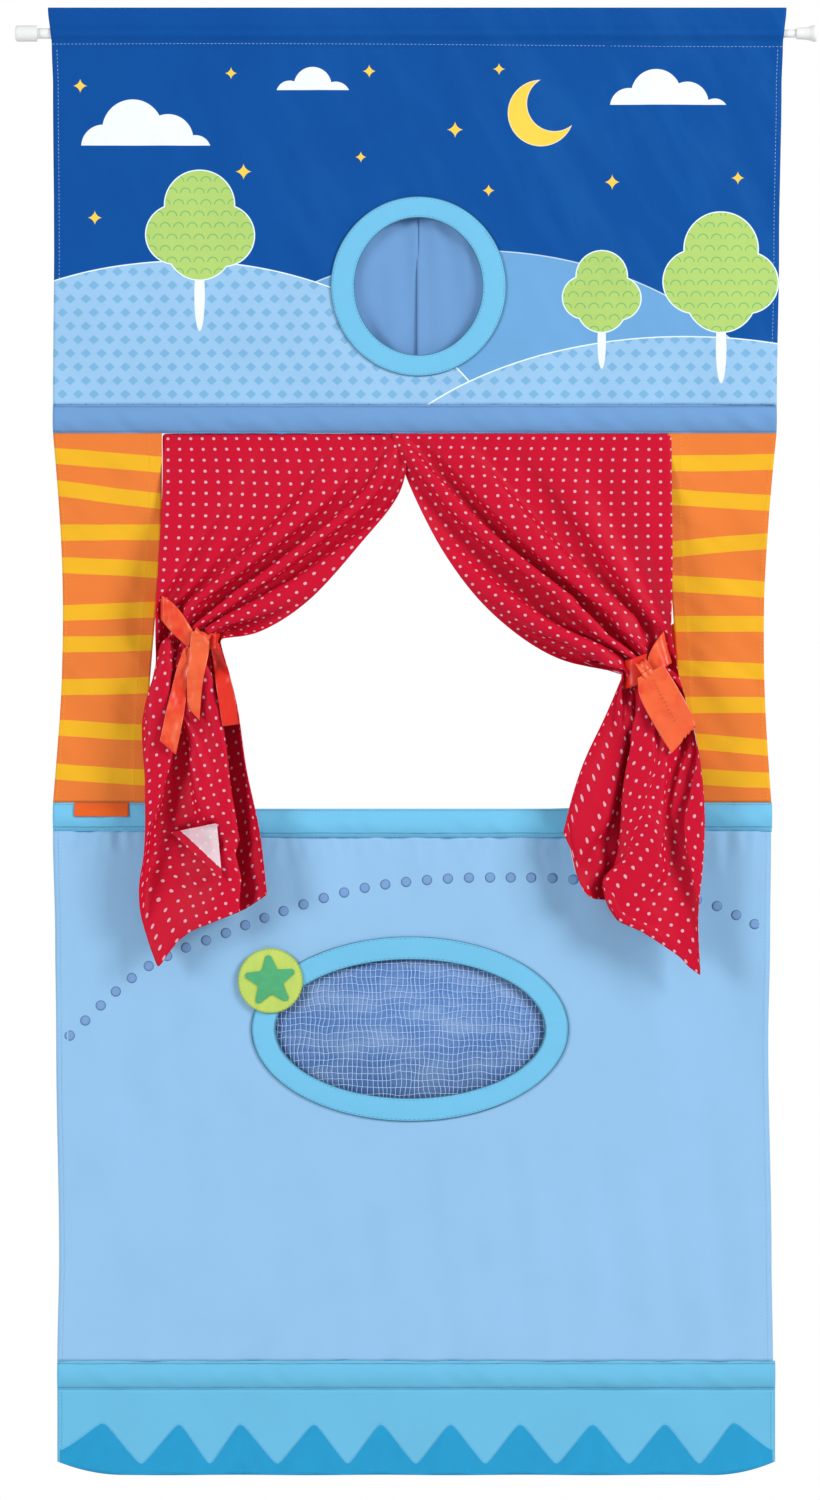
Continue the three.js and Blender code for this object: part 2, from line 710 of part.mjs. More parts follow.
function lowerPanel() {
  const left = edge(lower_top, lower_height, even_height_shares, lower_left_inset_shares, -1);
  const right = edge(lower_top, lower_height, even_height_shares, lower_right_inset_shares, 1);
  const left_edge = new THREE.SplineCurve(left.map(([x, z]) => new THREE.Vector2(x, z)));
  const right_edge = new THREE.SplineCurve(right.map(([x, z]) => new THREE.Vector2(x, z)));
  const waved = cloth(25, 8, cloth_thickness, (u, v) => {
    const x = THREE.MathUtils.lerp(left_edge.getPoint(v).x, right_edge.getPoint(v).x, u);
    const from_oval = Math.hypot((x - oval_x) / oval_outer_width,
      (left_edge.getPoint(v).y - oval_z) / oval_outer_height);
    const free = THREE.MathUtils.smoothstep(from_oval, 0.62, 0.95) * Math.sin(Math.PI * Math.min(1, v * 1.3));
    const fold = 0.5 - 0.5 * Math.cos(2 * Math.PI * lower_fold_count * u);
    return new THREE.Vector3(x, lower_fold_depth * fold * Math.max(0, free), left_edge.getPoint(v).y);
  });
  const hole = new THREE.Shape(oval(oval_x, oval_z, oval_inner_width + 2 * sewn_overlap,
    oval_inner_height + 2 * sewn_overlap, 56));
  piece('lower_panel', geometryOf(solidOf(waved).subtract(solidOf(slab(hole, -cut_overrun, cut_overrun)))),
    'lower_blue');

  const ring = new THREE.Shape(oval(oval_x, oval_z, oval_outer_width, oval_outer_height, 56));
  ring.holes.push(new THREE.Path(oval(oval_x, oval_z, oval_inner_width, oval_inner_height, 56)));
  const ring_back = -cloth_half - seat_gap;
  const ring_front = ring_back - applique_thickness;
  piece('oval_ring', slab(ring, ring_front, ring_back), 'turquoise');

  const net_front = cloth_half + seat_gap;
  const net_back = net_front + net_thickness;
  piece('oval_net', slab(netShape(), net_front, net_back), 'net_blue');
  const backing = new THREE.Shape(oval(oval_x, oval_z, oval_outer_width, oval_outer_height, 48));
  piece('oval_backing', slab(backing, net_back + seat_gap, net_back + seat_gap + cloth_thickness),
    'backing_blue');

  const disc_x = oval_x - oval_outer_width / 2 + disc_inside_oval_end;
  const disc_z = oval_z + oval_outer_height / 2 - disc_below_oval_top;
  const disc = new THREE.Shape(oval(disc_x, disc_z, disc_diameter, disc_diameter, 40));
  const disc_back = ring_front - seat_gap;
  const star_back = disc_back - applique_thickness - seat_gap;
  piece('star_disc', slab(disc, disc_back - applique_thickness, disc_back), 'disc_lime');
  piece('star', slab(starShape(disc_x, disc_z), star_back - applique_thickness, star_back), 'star_green');
}

// The net: an oval cloth of wavering strands, with a four-sided gap between each pair of strands
function netShape() {
  const net = new THREE.Shape(oval(oval_x, oval_z, oval_outer_width, oval_outer_height, 48));
  const columns = Math.floor(oval_inner_width / net_pitch);
  const rows = Math.floor(oval_inner_height / net_pitch);
  const crossing = (column, row) => new THREE.Vector2(
    oval_x + net_pitch * (column - columns / 2 + net_waver_share * Math.sin(1.9 * row + column)),
    oval_z + net_pitch * (row - rows / 2 + net_waver_share * Math.sin(2.3 * column - row)));
  for (let column = 0; column < columns; column++) {
    for (let row = 0; row < rows; row++) {
      const middle = crossing(column + 0.5, row + 0.5);
      const reach = Math.hypot((Math.abs(middle.x - oval_x) + net_pitch / 2) / oval_inner_width,
        (Math.abs(middle.y - oval_z) + net_pitch / 2) / oval_inner_height);
      if (reach > 0.53) continue;
      const corners = [[0, 0], [1, 0], [1, 1], [0, 1]].map(([c, r]) => {
        const corner = crossing(column + c, row + r);
        const inward = new THREE.Vector2(0.5 - c, 0.5 - r).multiplyScalar(net_strand);
        return corner.add(inward);
      });
      net.holes.push(new THREE.Path(corners));
    }
  }
  return net;
}

// A five-pointed star with blunt tips
function starShape(x, z) {
  const points = [];
  const radius = star_diameter / 2;
  const tilt = THREE.MathUtils.degToRad(90 + star_tilt_degrees);
  for (let i = 0; i < 5; i++) {
    const tip = tilt + i * 2 * Math.PI / 5;
    const at = (angle, share) => points.push(new THREE.Vector2(
      x + radius * share * Math.cos(angle), z + radius * share * Math.sin(angle)));
    at(tip - 0.16, 0.94);
    at(tip, 1);
    at(tip + 0.16, 0.94);
    at(tip + Math.PI / 5, star_waist_share);
  }
  return new THREE.Shape(points);
}

function label() {
  const left = cloth_left + label_from_left;
  piece('blank_label', cloth(2, 5, label_thickness, (u, v) => {
    const down = v * label_height;
    const stand = bandBulge(band_height - down) + seat_gap + label_thickness / 2;
    return new THREE.Vector3(left + u * label_width, -stand, sill_top - down);
  }), 'label_orange');
}

// The flounce's middle surface: gentle waves that grow downwards, and a foot that rises at its ends
function flouncePoint(u, down) {
  const left = cloth_left + hem_inset_shares[0] * cloth_width;
  const right = cloth_right - hem_inset_shares[1] * cloth_width;
  const wave = flounce_fold_depth * down * Math.sin(2 * Math.PI * flounce_fold_count * u);
  return new THREE.Vector3(THREE.MathUtils.lerp(left, right, u), wave, flounce_top - down * flounceDrop(u));
}

function flounceDrop(u) {
  const from_end = Math.min(u, 1 - u) / flounce_corner_share;
  return flounce_height - flounce_rise * Math.pow(Math.max(0, 1 - from_end), 2);
}

function flounce() {
  const columns = zigzag_count * 8;
  piece('flounce', cloth(columns, 2, cloth_thickness, flouncePoint), 'turquoise');
  // The zigzag rises in rounded peaks from a strip along the foot.
  piece('zigzag_trim', cloth(columns, 1, zigzag_thickness, (u, v) => {
    const phase = (u * zigzag_count) % 1;
    const peak = Math.pow(1 - Math.abs(2 * phase - 1), 0.85);
    const top = 1 - (zigzag_foot + zigzag_height * peak) / flounceDrop(u);
    const at = flouncePoint(u, THREE.MathUtils.lerp(top, 1, v));
    at.y -= cloth_half + seat_gap + zigzag_thickness / 2;
    return at;
  }), 'zigzag_blue');
}

tensionRod();
header();
band('pelmet_band', 'pelmet_rod', pelmet_foot, [0, 0], 'pelmet_blue');
pillars();
curtains();
ties();
band('sill_band', 'sill_rod', sill_foot, sill_inset_shares, 'turquoise');
label();
lowerPanel();
band('hem_band', 'hem_rod', hem_foot, hem_inset_shares, 'turquoise');
flounce();

export default theatre;
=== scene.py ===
"""The looks of a doorway puppet theatre: printed cloth, tied curtains, ribbons, seams and finishes.

Metres. X runs along the rod, Z is up and the audience sits on the -Y side. Every piece takes its
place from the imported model, which is loaded first and never changed.
"""

import math
from functools import reduce

import bmesh
import bpy
from bpy.props import FloatProperty, FloatVectorProperty, IntProperty, PointerProperty
from mathutils import Matrix, Vector, noise
from mathutils.bvhtree import BVHTree


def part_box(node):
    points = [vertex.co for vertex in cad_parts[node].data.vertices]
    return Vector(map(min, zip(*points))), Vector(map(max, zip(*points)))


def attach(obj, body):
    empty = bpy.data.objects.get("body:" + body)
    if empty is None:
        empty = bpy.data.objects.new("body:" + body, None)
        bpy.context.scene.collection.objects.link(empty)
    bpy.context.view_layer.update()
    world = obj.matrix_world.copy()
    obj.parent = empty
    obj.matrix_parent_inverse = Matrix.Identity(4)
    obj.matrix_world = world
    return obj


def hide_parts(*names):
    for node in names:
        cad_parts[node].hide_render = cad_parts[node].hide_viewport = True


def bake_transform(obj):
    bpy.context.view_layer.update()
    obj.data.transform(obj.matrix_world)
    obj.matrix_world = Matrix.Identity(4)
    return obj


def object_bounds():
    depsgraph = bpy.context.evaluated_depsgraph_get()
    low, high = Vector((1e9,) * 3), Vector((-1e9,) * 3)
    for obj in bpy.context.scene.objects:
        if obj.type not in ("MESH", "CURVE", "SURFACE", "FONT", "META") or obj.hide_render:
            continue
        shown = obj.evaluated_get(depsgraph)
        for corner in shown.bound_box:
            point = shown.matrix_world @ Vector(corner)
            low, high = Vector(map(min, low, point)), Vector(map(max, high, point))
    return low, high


bl_info = {
    "name": "Doorway puppet theatre",
    "version": (1, 0, 0),
    "blender": (4, 5, 0),
    "location": "View3D > Sidebar > Theatre",
    "description": "Makes the cloth, ribbons and finishes of a doorway puppet theatre",
    "category": "Object",
}

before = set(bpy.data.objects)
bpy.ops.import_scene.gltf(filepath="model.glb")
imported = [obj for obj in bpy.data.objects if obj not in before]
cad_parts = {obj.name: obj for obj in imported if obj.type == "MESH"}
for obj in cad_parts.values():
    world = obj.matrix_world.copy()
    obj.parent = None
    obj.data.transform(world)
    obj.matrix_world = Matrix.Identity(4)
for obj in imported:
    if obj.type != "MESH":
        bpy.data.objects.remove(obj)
CAD_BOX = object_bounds()
MM = 0.001


# Sums that every piece uses

def lerp(start, end, share):
    return start + (end - start) * share


def smoothstep(value, low, high):
    share = min(1.0, max(0.0, (value - low) / (high - low)))
    return share * share * (3.0 - 2.0 * share)


def eased(places, values, at):
    """A value between the ones given at some places, eased from each to the next."""
    for i in range(1, len(places)):
        if at <= places[i]:
            return lerp(values[i - 1], values[i], smoothstep(at, places[i - 1], places[i]))
    return values[-1]


def along_curve(points, share):
    """A point on the smooth curve through some points, at a share of its way."""
    last = len(points) - 1
    at = min(max(share, 0.0), 1.0) * last
    i = min(int(at), last - 1)
    t = at - i
    before = points[i - 1] if i > 0 else 2 * points[0] - points[1]
    after = points[i + 2] if i + 2 <= last else 2 * points[last] - points[last - 1]
    a, b = points[i], points[i + 1]
    return 0.5 * (
        2 * a + (b - before) * t
        + (2 * before - 5 * a + 4 * b - after) * t * t
        + (3 * a - before - 3 * b + after) * t * t * t
    )


def between(places, values, at):
    """A value on the straight lines between the ones given at some places."""
    for i in range(1, len(places)):
        if at <= places[i]:
            return lerp(values[i - 1], values[i], max(0.0, at - places[i - 1]) / (places[i] - places[i - 1]))
    return values[-1]


def crumple(x, z, size, height, seed, lean=0.0, stretch=1.0):
    """The height of soft creases: a size apart, and longer along their lean by stretch."""
    across = x * math.cos(lean) + z * math.sin(lean)
    along = z * math.cos(lean) - x * math.sin(lean)
    return height * noise.noise(Vector((across / size, seed, along / (size * stretch))))


def hem_step(from_edge, width, height):
    """How far a turned hem stands forward, by the distance from its edge."""
    return -height * (1.0 - smoothstep(from_edge, width - 1.5 * MM, width + 1.5 * MM))


# Sizes and colours that a maker would change

def size(name, description, millimetres):
    return FloatProperty(name=name, description=description, default=millimetres * MM, min=0.0,
                         unit="LENGTH", precision=5)


def dye(name, description, red, green, blue):
    return FloatVectorProperty(name=name, description=description, size=3, subtype="COLOR_GAMMA",
                               min=0.0, max=1.0, default=(red / 255, green / 255, blue / 255))


class TheatreSizes(bpy.types.PropertyGroup):
    """Sizes of the cloth, the seams and the patterns"""

    cloth: size("Cloth", "Thickness of the printed cotton", 0.8)
    trim: size("Trim", "Thickness of the sewn-on rings and badges", 1.4)
    ribbon: size("Ribbon", "Thickness of the ribbons", 0.6)
    cell: size("Grid", "Distance between the corners of a cloth's grid", 3.2)
    thread_pitch: size("Thread pitch", "Distance between the threads of the weave", 0.55)
    stitch: size("Stitch", "Length of one stitch", 2.6)
    stitch_gap: size("Stitch gap", "Gap between two stitches", 1.0)
    stitch_thread: size("Stitch thread", "Thickness of the sewing thread", 0.5)
    hem: size("Side hem", "Width of the turned side hems", 9.0)
    hem_stitch: size("Hem stitch", "Distance of the hem's stitches from its edge", 5.0)
    crease: size("Creases", "Height of the soft creases in the hanging cloth", 2.6)
    spot: size("Spot", "Diameter of the curtains' spots", 2.8)
    spot_pitch: size("Spot pitch", "Distance between the spots along a row", 10.8)
    spot_row: size("Spot rows", "Distance between the rows of spots", 10.4)
    curtain_hem: size("Curtain hem", "Width of the hems turned to the curtains' reverse", 11.0)
    print_dot: size("Printed dot", "Diameter of the dots of the dotted line", 10.0)
    dot_pitch: size("Dot pitch", "Distance between the dots of the dotted line", 19.4)
    net_strand: size("Net strand", "Thickness of a strand of the net", 0.62)
    net_across: size("Net across", "Distance between upright strands", 4.6)
    net_down: size("Net down", "Distance between level strands", 6.6)
    pleats: IntProperty(name="Pleats", description="Pleats that a tied curtain is drawn into",
                        default=4, min=2, max=9)


class TheatreColours(bpy.types.PropertyGroup):
    """Colours of the cloth, the prints and the rod"""

    night: dye("Night blue", "Ground of the header", 0, 76, 152)
    # Painted sheen: the paler streaks on the header's right stand in for light falling on its folds
    night_painted_sheen: dye("Night blue painted sheen", "Paler streaks on the header's right", 34, 108, 178)
    hill: dye("Hill", "Ground of the printed hills", 152, 194, 228)
    hill_mark: dye("Hill mark", "Small marks on the hills", 122, 176, 214)
    far_hill: dye("Far hill", "Ground of the hill behind", 108, 164, 212)
    lime: dye("Lime", "Trees and the round badge", 178, 208, 112)
    lime_light: dye("Light lime", "Pale strokes on the badge", 208, 222, 96)
    leaf: dye("Leaf", "Leaf marks on the trees", 118, 184, 110)
    cloud: dye("Cloud", "Clouds and tree trunks", 238, 241, 245)
    moon: dye("Moon", "Moon and stars", 250, 208, 78)
    blue: dye("Mid blue", "Pelmet band and flaps", 110, 154, 203)
    turquoise: dye("Turquoise", "Rings, bands and flounce", 114, 190, 226)
    hem_blue: dye("Hem blue", "Hem band and flounce", 106, 184, 218)
    pale: dye("Pale blue", "Lower front", 146, 190, 226)
    print_blue: dye("Print blue", "Dots of the dotted line", 114, 152, 198)
    orange: dye("Orange", "Ground of the pillars", 232, 124, 54)
    yellow: dye("Yellow", "Stripes of the pillars", 238, 178, 36)
    red: dye("Red", "Curtains", 200, 14, 46)
    spot: dye("Spots", "Spots of the curtains", 230, 164, 178)
    lining: dye("Lining", "Reverse of the curtains", 228, 200, 206)
    # The ribbons' deep red is painted as the satin in shade, and the shine colour is painted light where the
    # satin is lit
    ribbon: dye("Ribbon", "Satin ribbons in their own colour", 226, 38, 12)
    ribbon_painted_light: dye("Ribbon shine", "Satin ribbons where they shine", 240, 98, 48)
    label: dye("Label", "Woven label", 228, 92, 12)
    backing: dye("Backing", "Cloth behind the net", 98, 138, 196)
    strand: dye("Net", "Strands of the net", 172, 200, 236)
    star: dye("Star", "Star on the badge", 84, 172, 118)
    zigzag: dye("Zigzag", "Zigzag on the flounce", 26, 150, 198)
    thread: dye("Thread", "Pale sewing thread", 176, 206, 240)
    white_steel: dye("White steel", "Painted tubes", 240, 239, 236)
    rubber: dye("Rubber", "End pads", 236, 235, 231)
    wood: dye("Wood", "Stiffening dowels", 222, 190, 146)


def sizes():
    return bpy.context.scene.theatre_sizes


def linear(colour):
    """A display colour as the linear colour that a shader socket takes."""
    parts = [part / 12.92 if part <= 0.04045 else ((part + 0.055) / 1.055) ** 2.4 for part in colour]
    return (*parts, 1.0)


def colour_of(name):
    return linear(getattr(bpy.context.scene.theatre_colours, name))


def darker(colour, share):
    return (*(part * share for part in colour[:3]), 1.0)


# Materials: sums on values add their nodes

class Value:
    """A socket of a material, on which arithmetic adds Math nodes."""

    def __init__(self, finish, socket):
        self.finish = finish
        self.socket = socket

    def math(self, operation, *others):
        inputs = dict(enumerate((self, *others)))
        return self.finish.node("ShaderNodeMath", {"operation": operation}, inputs)

    def swapped(self, operation, other):
        return self.finish.node("ShaderNodeMath", {"operation": operation}, {0: other, 1: self})

    def __add__(self, other):
        return self.math("ADD", other)

    def __radd__(self, other):
        return self.math("ADD", other)

    def __sub__(self, other):
        return self.math("SUBTRACT", other)

    def __rsub__(self, other):
        return self.swapped("SUBTRACT", other)

    def __mul__(self, other):
        return self.math("MULTIPLY", other)

    def __rmul__(self, other):
        return self.math("MULTIPLY", other)

    def __truediv__(self, other):
        return self.math("DIVIDE", other)

    def __rtruediv__(self, other):
        return self.swapped("DIVIDE", other)

    def __pow__(self, other):
        return self.math("POWER", other)

    def __neg__(self):
        return self.math("MULTIPLY", -1.0)

    def __abs__(self):
        return self.math("ABSOLUTE")

    def sine(self):
        return self.math("SINE")

    def part(self):
        """What is left over a whole number."""
        return self.math("FRACT")

    def least(self, other):
        return self.math("MINIMUM", other)

    def most(self, other):
        return self.math("MAXIMUM", other)

    def clamped(self):
        """The value kept between 0 and 1."""
        return self.most(0.0).least(1.0)

    def eased(self, low, high):
        """0 at one value and 1 at another, eased between them."""
        share = ((self - low) / (high - low)).clamped()
        return share * share * (3.0 - share * 2.0)

    def inside(self, softness=0.25 * MM):
        """1 where a distance is below zero and 0 where it is above, with a soft edge."""
        return self.finish.node("ShaderNodeMath", {"operation": "SUBTRACT", "use_clamp": True},
                                {0: 0.5, 1: self / softness})


class Finish:
    """A material made from nodes, one for each finish of the theatre."""

    def __init__(self, name, roughness, metallic=0.0, sheen=0.0, specular=0.35, coat=0.0):
        self.material = bpy.data.materials.new(name)
        self.material.use_nodes = True
        self.tree = self.material.node_tree
        self.tree.nodes.clear()
        self.shader = self.tree.nodes.new("ShaderNodeBsdfPrincipled")
        output = self.tree.nodes.new("ShaderNodeOutputMaterial")
        self.tree.links.new(self.shader.outputs["BSDF"], output.inputs["Surface"])
        for key, value in (("Roughness", roughness), ("Metallic", metallic), ("Sheen Weight", sheen),
                           ("Sheen Roughness", 0.4), ("Specular IOR Level", specular),
                           ("Coat Weight", coat), ("Coat Roughness", 0.25)):
            self.shader.inputs[key].default_value = value

    def node(self, kind, settings=None, inputs=None, output=0):
        made = self.tree.nodes.new(kind)
        for name, value in (settings or {}).items():
            setattr(made, name, value)
        for key, value in (inputs or {}).items():
            if isinstance(value, Value):
                self.tree.links.new(value.socket, made.inputs[key])
            else:
                made.inputs[key].default_value = value
        return Value(self, made.outputs[output])

    def set(self, name, value):
        if isinstance(value, Value):
            self.tree.links.new(value.socket, self.shader.inputs[name])
        else:
            self.shader.inputs[name].default_value = value

    def spot(self):
        """The place of a point of the piece."""
        return self.node("ShaderNodeTexCoord", output="Object")

    def place(self):
        """X, Y and Z of a point of the piece."""
        spot = self.spot()
        return [self.node("ShaderNodeSeparateXYZ", inputs={0: spot}, output=i) for i in range(3)]

    def flat_place(self):
        """Across and down the cloth before it was hung, in metres."""
        spot = self.node("ShaderNodeUVMap", {"uv_map": "flat"})
        return [self.node("ShaderNodeSeparateXYZ", inputs={0: spot}, output=i) for i in range(2)]

    def vector(self, x, y, z):
        return self.node("ShaderNodeCombineXYZ", inputs={0: x, 1: y, 2: z})

    def noise(self, vector, scale, detail=2.0, roughness=0.5):
        return self.node("ShaderNodeTexNoise", inputs={
            "Vector": vector, "Scale": scale, "Detail": detail, "Roughness": roughness})

    def mix(self, share, below, above):
        return self.node("ShaderNodeMix", {"data_type": "RGBA"}, {0: share, 6: below, 7: above}, 2)

    def shaded(self, colour, shade):
        """A colour made lighter or darker by a value round 1."""
        return self.node("ShaderNodeVectorMath", {"operation": "SCALE"}, {
            0: colour if isinstance(colour, Value) else colour[:3], "Scale": shade})

    def bump(self, height, strength, distance):
        self.set("Normal", self.node("ShaderNodeBump", inputs={
            "Height": height, "Strength": strength, "Distance": distance}))


def weave_onto(finish, across, down, colour, pitch, uneven=0.10, grain=0.16, depth=0.5):
    """Threads over and under each other, uneven dye and a fine grain, on colour and bump."""
    warp = (across * (math.pi / pitch)).sine()
    weft = (down * (math.pi / pitch)).sine()
    crossing = warp * weft
    cloth_place = finish.vector(across, down, 0.0)
    fibre = finish.noise(cloth_place, 1400.0, 2.0)
    patch = finish.noise(cloth_place, 11.0, 3.0, 0.6)
    shade = 1.0 + crossing * 0.05 + (fibre - 0.5) * grain + (patch - 0.5) * uneven
    finish.set("Base Color", finish.shaded(colour, shade))
    finish.bump(crossing * 0.5 + fibre, depth, 0.12 * MM)


def cotton(name, paint, uneven=0.10, roughness=0.82, sheen=0.02, specular=0.14):
    """Plain woven cotton. paint is a colour, or a function that paints one from X and Z."""
    finish = Finish(name, roughness, sheen=sheen, specular=specular)
    x, _, z = finish.place()
    colour = paint(finish, x, z) if callable(paint) else paint
    weave_onto(finish, x, z, colour, sizes().thread_pitch, uneven)
    return finish.material


def reverse_of(name, colour, paleness=0.16):
    """The back of a dyed cotton, a little paler and duller than its face."""
    pale = tuple(lerp(part, 0.75, paleness) for part in colour[:3]) + (1.0,)
    return cotton(name, pale, uneven=0.14)


# Building pieces

def linked(name, data):
    """A new object in the scene."""
    made = bpy.data.objects.new(name, data)
    bpy.context.scene.collection.objects.link(made)
    return made


def mesh_of(shape, name):
    mesh = bpy.data.meshes.new(name)
    shape.to_mesh(mesh)
    shape.free()
    return mesh


def keep(shape, name, finishes, body, slot, stands_for=()):
    """Makes a shape into a finished piece that moves with a body of the theatre."""
    mesh = mesh_of(shape, name)
    for finish in finishes:
        mesh.materials.append(finish)
    for polygon in mesh.polygons:
        polygon.use_smooth = True
    piece = linked(name, mesh)
    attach(piece, body)
    if stands_for:
        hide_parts(*stands_for)
    return piece


def thicken(piece, thickness, even=True):
    """Gives a sheet its thickness; a second finish then shows on its back."""
    wall = piece.modifiers.new("thickness", "SOLIDIFY")
    wall.thickness = thickness
    wall.offset = 0.0
    wall.use_even_offset = even
    wall.material_offset = len(piece.data.materials) - 1


def cloth_grid(columns, rows, place):
    """A grid whose corners are put in place by their shares across and down, facing the audience."""
    shape = bmesh.new()
    bmesh.ops.create_grid(shape, x_segments=columns, y_segments=rows, size=0.5)
    shares = {corner: (corner.co.x + 0.5, 0.5 - corner.co.y) for corner in shape.verts}
    for corner, (u, v) in shares.items():
        corner.co = place(u, v)
    return shape, shares


def map_cloth(shape, shares, flat_spot):
    """Keeps each corner's place on the flat cloth as its UV, in metres, by its shares."""
    layer = shape.loops.layers.uv.new("flat")
    for face in shape.faces:
        for loop in face.loops:
            loop[layer].uv = flat_spot(*shares[loop.vert])


def map_flat(shape, shares, width, drop):
    """Maps a cloth that is a plain rectangle when it lies flat."""
    map_cloth(shape, shares, lambda u, v: (u * width, v * drop))


def cells(span):
    return max(2, round(span / sizes().cell))


# Turns a flat shape, which is made lying down, to face the audience
FACING_FRONT = Matrix.Rotation(math.pi / 2, 4, "X")


def way_length(spot_at, steps):
    """The length of a way, measured in straight steps; spot_at gives its point at a share."""
    spots = [spot_at(i / steps) for i in range(steps + 1)]
    return sum((b - a).length for a, b in zip(spots, spots[1:]))


# Where a stitch starts and ends, as shares of its step
STITCH_START = 0.1
STITCH_END = 0.82


def sew(name, rows, thread, body, slot):
    """Rows of stitches. Each row is a function from a share of its way to a point on the cloth."""
    step = sizes().stitch + sizes().stitch_gap
    thick = sizes().stitch_thread / 2
    shape = bmesh.new()
    for row in rows:
        count = max(1, round(way_length(row, 60) / step))
        for i in range(count):
            start = row((i + STITCH_START) / count)
            end = row((i + STITCH_END) / count)
            run = end - start
            turn = run.to_track_quat("X", "Z").to_matrix().to_4x4()
            stretch = Matrix.Diagonal((run.length / 2, thick, thick, 1.0))
            bmesh.ops.create_icosphere(shape, subdivisions=1, radius=1.0,
                                       matrix=Matrix.Translation((start + end) / 2) @ turn @ stretch)
    finish = Finish(name + "_finish", 0.6, sheen=0.2)
    fibre = finish.noise(finish.spot(), 2600.0)
    finish.set("Base Color", finish.shaded(thread, 0.86 + fibre * 0.28))
    finish.bump(fibre, 0.4, 0.05 * MM)
    return keep(shape, name, [finish.material], body, slot)


# Places of the cloth parts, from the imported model

FRONT_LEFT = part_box("pelmet_band")[0].x
FRONT_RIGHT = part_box("pelmet_band")[1].x
FRONT_WIDTH = FRONT_RIGHT - FRONT_LEFT
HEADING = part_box("header_panel")[1].z
HEADER_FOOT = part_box("header_panel")[0].z
STAGE_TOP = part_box("pillar_left")[1].z
STAGE_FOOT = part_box("pillar_left")[0].z
LOWER_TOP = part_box("lower_panel")[1].z
LOWER_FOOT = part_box("lower_panel")[0].z
POCKET_FOOT = -12 * MM
# The sill hangs through: how far, between which places its sag grows at each side, how far the band
# bulges forward as a share of the sag, and how far down the lower front follows it
SILL_SAG = 6 * MM
SAG_LEFT = (120 * MM, 225 * MM)
SAG_RIGHT = (650 * MM, 500 * MM)
SAG_BULGE = 0.17
SAG_REACH = 40 * MM
# Shares down a cloth, and how far in its left and its right edge lie there as shares of the front's width
HEADER_INSETS = ((0.0, 0.096, 0.2, 0.6, 1.0), (-0.007, -0.0017, 0.0, 0.0015, 0.0),
                 (-0.0137, -0.0087, -0.007, -0.0035, 0.0))
LOWER_INSETS = ((0.0, 0.2, 0.4, 0.8, 1.0), (0.0, 0.003, 0.0045, 0.0085, 0.006),
                (0.0075, 0.009, 0.0115, 0.007, 0.005))


def middle_of(node):
    low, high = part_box(node)
    return (low + high) / 2


def half_sizes(node):
    """Half the width and half the height of a node."""
    low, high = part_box(node)
    return (high.x - low.x) / 2, (high.z - low.z) / 2


# The middle of each window, and half the width and height of its ring and of its opening
WINDOW = middle_of("porthole_ring")
WINDOW_RING = half_sizes("porthole_ring")
WINDOW_OPEN = (61 * MM, 65.4 * MM)
OVAL = middle_of("oval_ring")
OVAL_RING = half_sizes("oval_ring")
OVAL_OPEN = (128 * MM, 66 * MM)
NET_MARGIN = 9 * MM
NET_STEP = 3.2 * MM


def cloth_edges(insets, top, foot, z):
    """X of a cloth's left and right edge at a height."""
    shares, left, right = insets
    down = (top - z) / (top - foot)
    return (FRONT_LEFT + FRONT_WIDTH * eased(shares, left, down),
            FRONT_RIGHT - FRONT_WIDTH * eased(shares, right, down))


def header_edges(z):
    return cloth_edges(HEADER_INSETS, HEADING, HEADER_FOOT, z)


def lower_edges(z):
    return cloth_edges(LOWER_INSETS, LOWER_TOP, LOWER_FOOT, z)


def sill_sag(x):
    """How far the sill hangs through between the pillars, where nothing holds it up."""
    return SILL_SAG * smoothstep(x, *SAG_LEFT) * smoothstep(x, *SAG_RIGHT)


def from_oval(x, z, middle, half):
    """1 on an oval's edge, less inside it and more outside."""
    return math.hypot((x - middle.x) / half[0], (z - middle.z) / half[1])


def header_relief(x, z):
    """How far the header cloth stands behind its flat place: soft folds, creases and side hems."""
    left, right = header_edges(z)
    clear = smoothstep(from_oval(x, z, WINDOW, WINDOW_RING), 1.05, 1.5)
    hanging = smoothstep(POCKET_FOOT - z, 0.0, 60 * MM)
    crease = sizes().crease
    to_the_right = smoothstep(x, WINDOW.x, right)
    folds = crumple(x, z, 52 * MM, crease * (0.7 + to_the_right), 2.3, 0.08, 5.0)
    creases = crumple(x, z, 17 * MM, crease * 0.32, 5.1, 0.5, 3.5)
    near_pocket = crumple(x, z, 11 * MM, crease * 0.4, 8.4, -0.35, 3.0) * smoothstep(
        POCKET_FOOT - z, 70 * MM, 0.0)
    hem = hem_step(min(x - left, right - x), sizes().hem, 0.35 * MM)
    return clear * hanging * (folds + creases) + near_pocket * 0.6 + hem


def lower_relief(x, z):
    """How far the lower cloth stands behind its flat place."""
    left, right = lower_edges(z)
    share = (x - left) / (right - left)
    clear = smoothstep(from_oval(x, z, OVAL, OVAL_RING), 1.08, 1.6)
    held = math.sin(math.pi * min(1.0, 1.3 * (LOWER_TOP - z) / (LOWER_TOP - LOWER_FOOT)))
    crease = sizes().crease
    folds = 1.5 * MM * (1.0 - math.cos(2 * math.pi * 5 * share + 2.0 * crumple(x, z, 0.2, 1.0, 1.7)))
    creases = crumple(x, z, 34 * MM, crease * 0.9, 3.9, 0.12, 6.0)
    foot = crumple(x, z, 16 * MM, crease * 0.5, 9.2, -0.6, 3.0) * smoothstep(
        z, LOWER_FOOT + 60 * MM, LOWER_FOOT)
    puckers = crumple(x, z, 9 * MM, crease * 0.7, 6.2, 0.0, 3.0) * smoothstep(
        z, LOWER_TOP - 50 * MM, LOWER_TOP)
    hem = hem_step(min(x - left, right - x), sizes().hem, 0.5 * MM)
    return clear * (held * folds + creases + foot) + puckers + hem


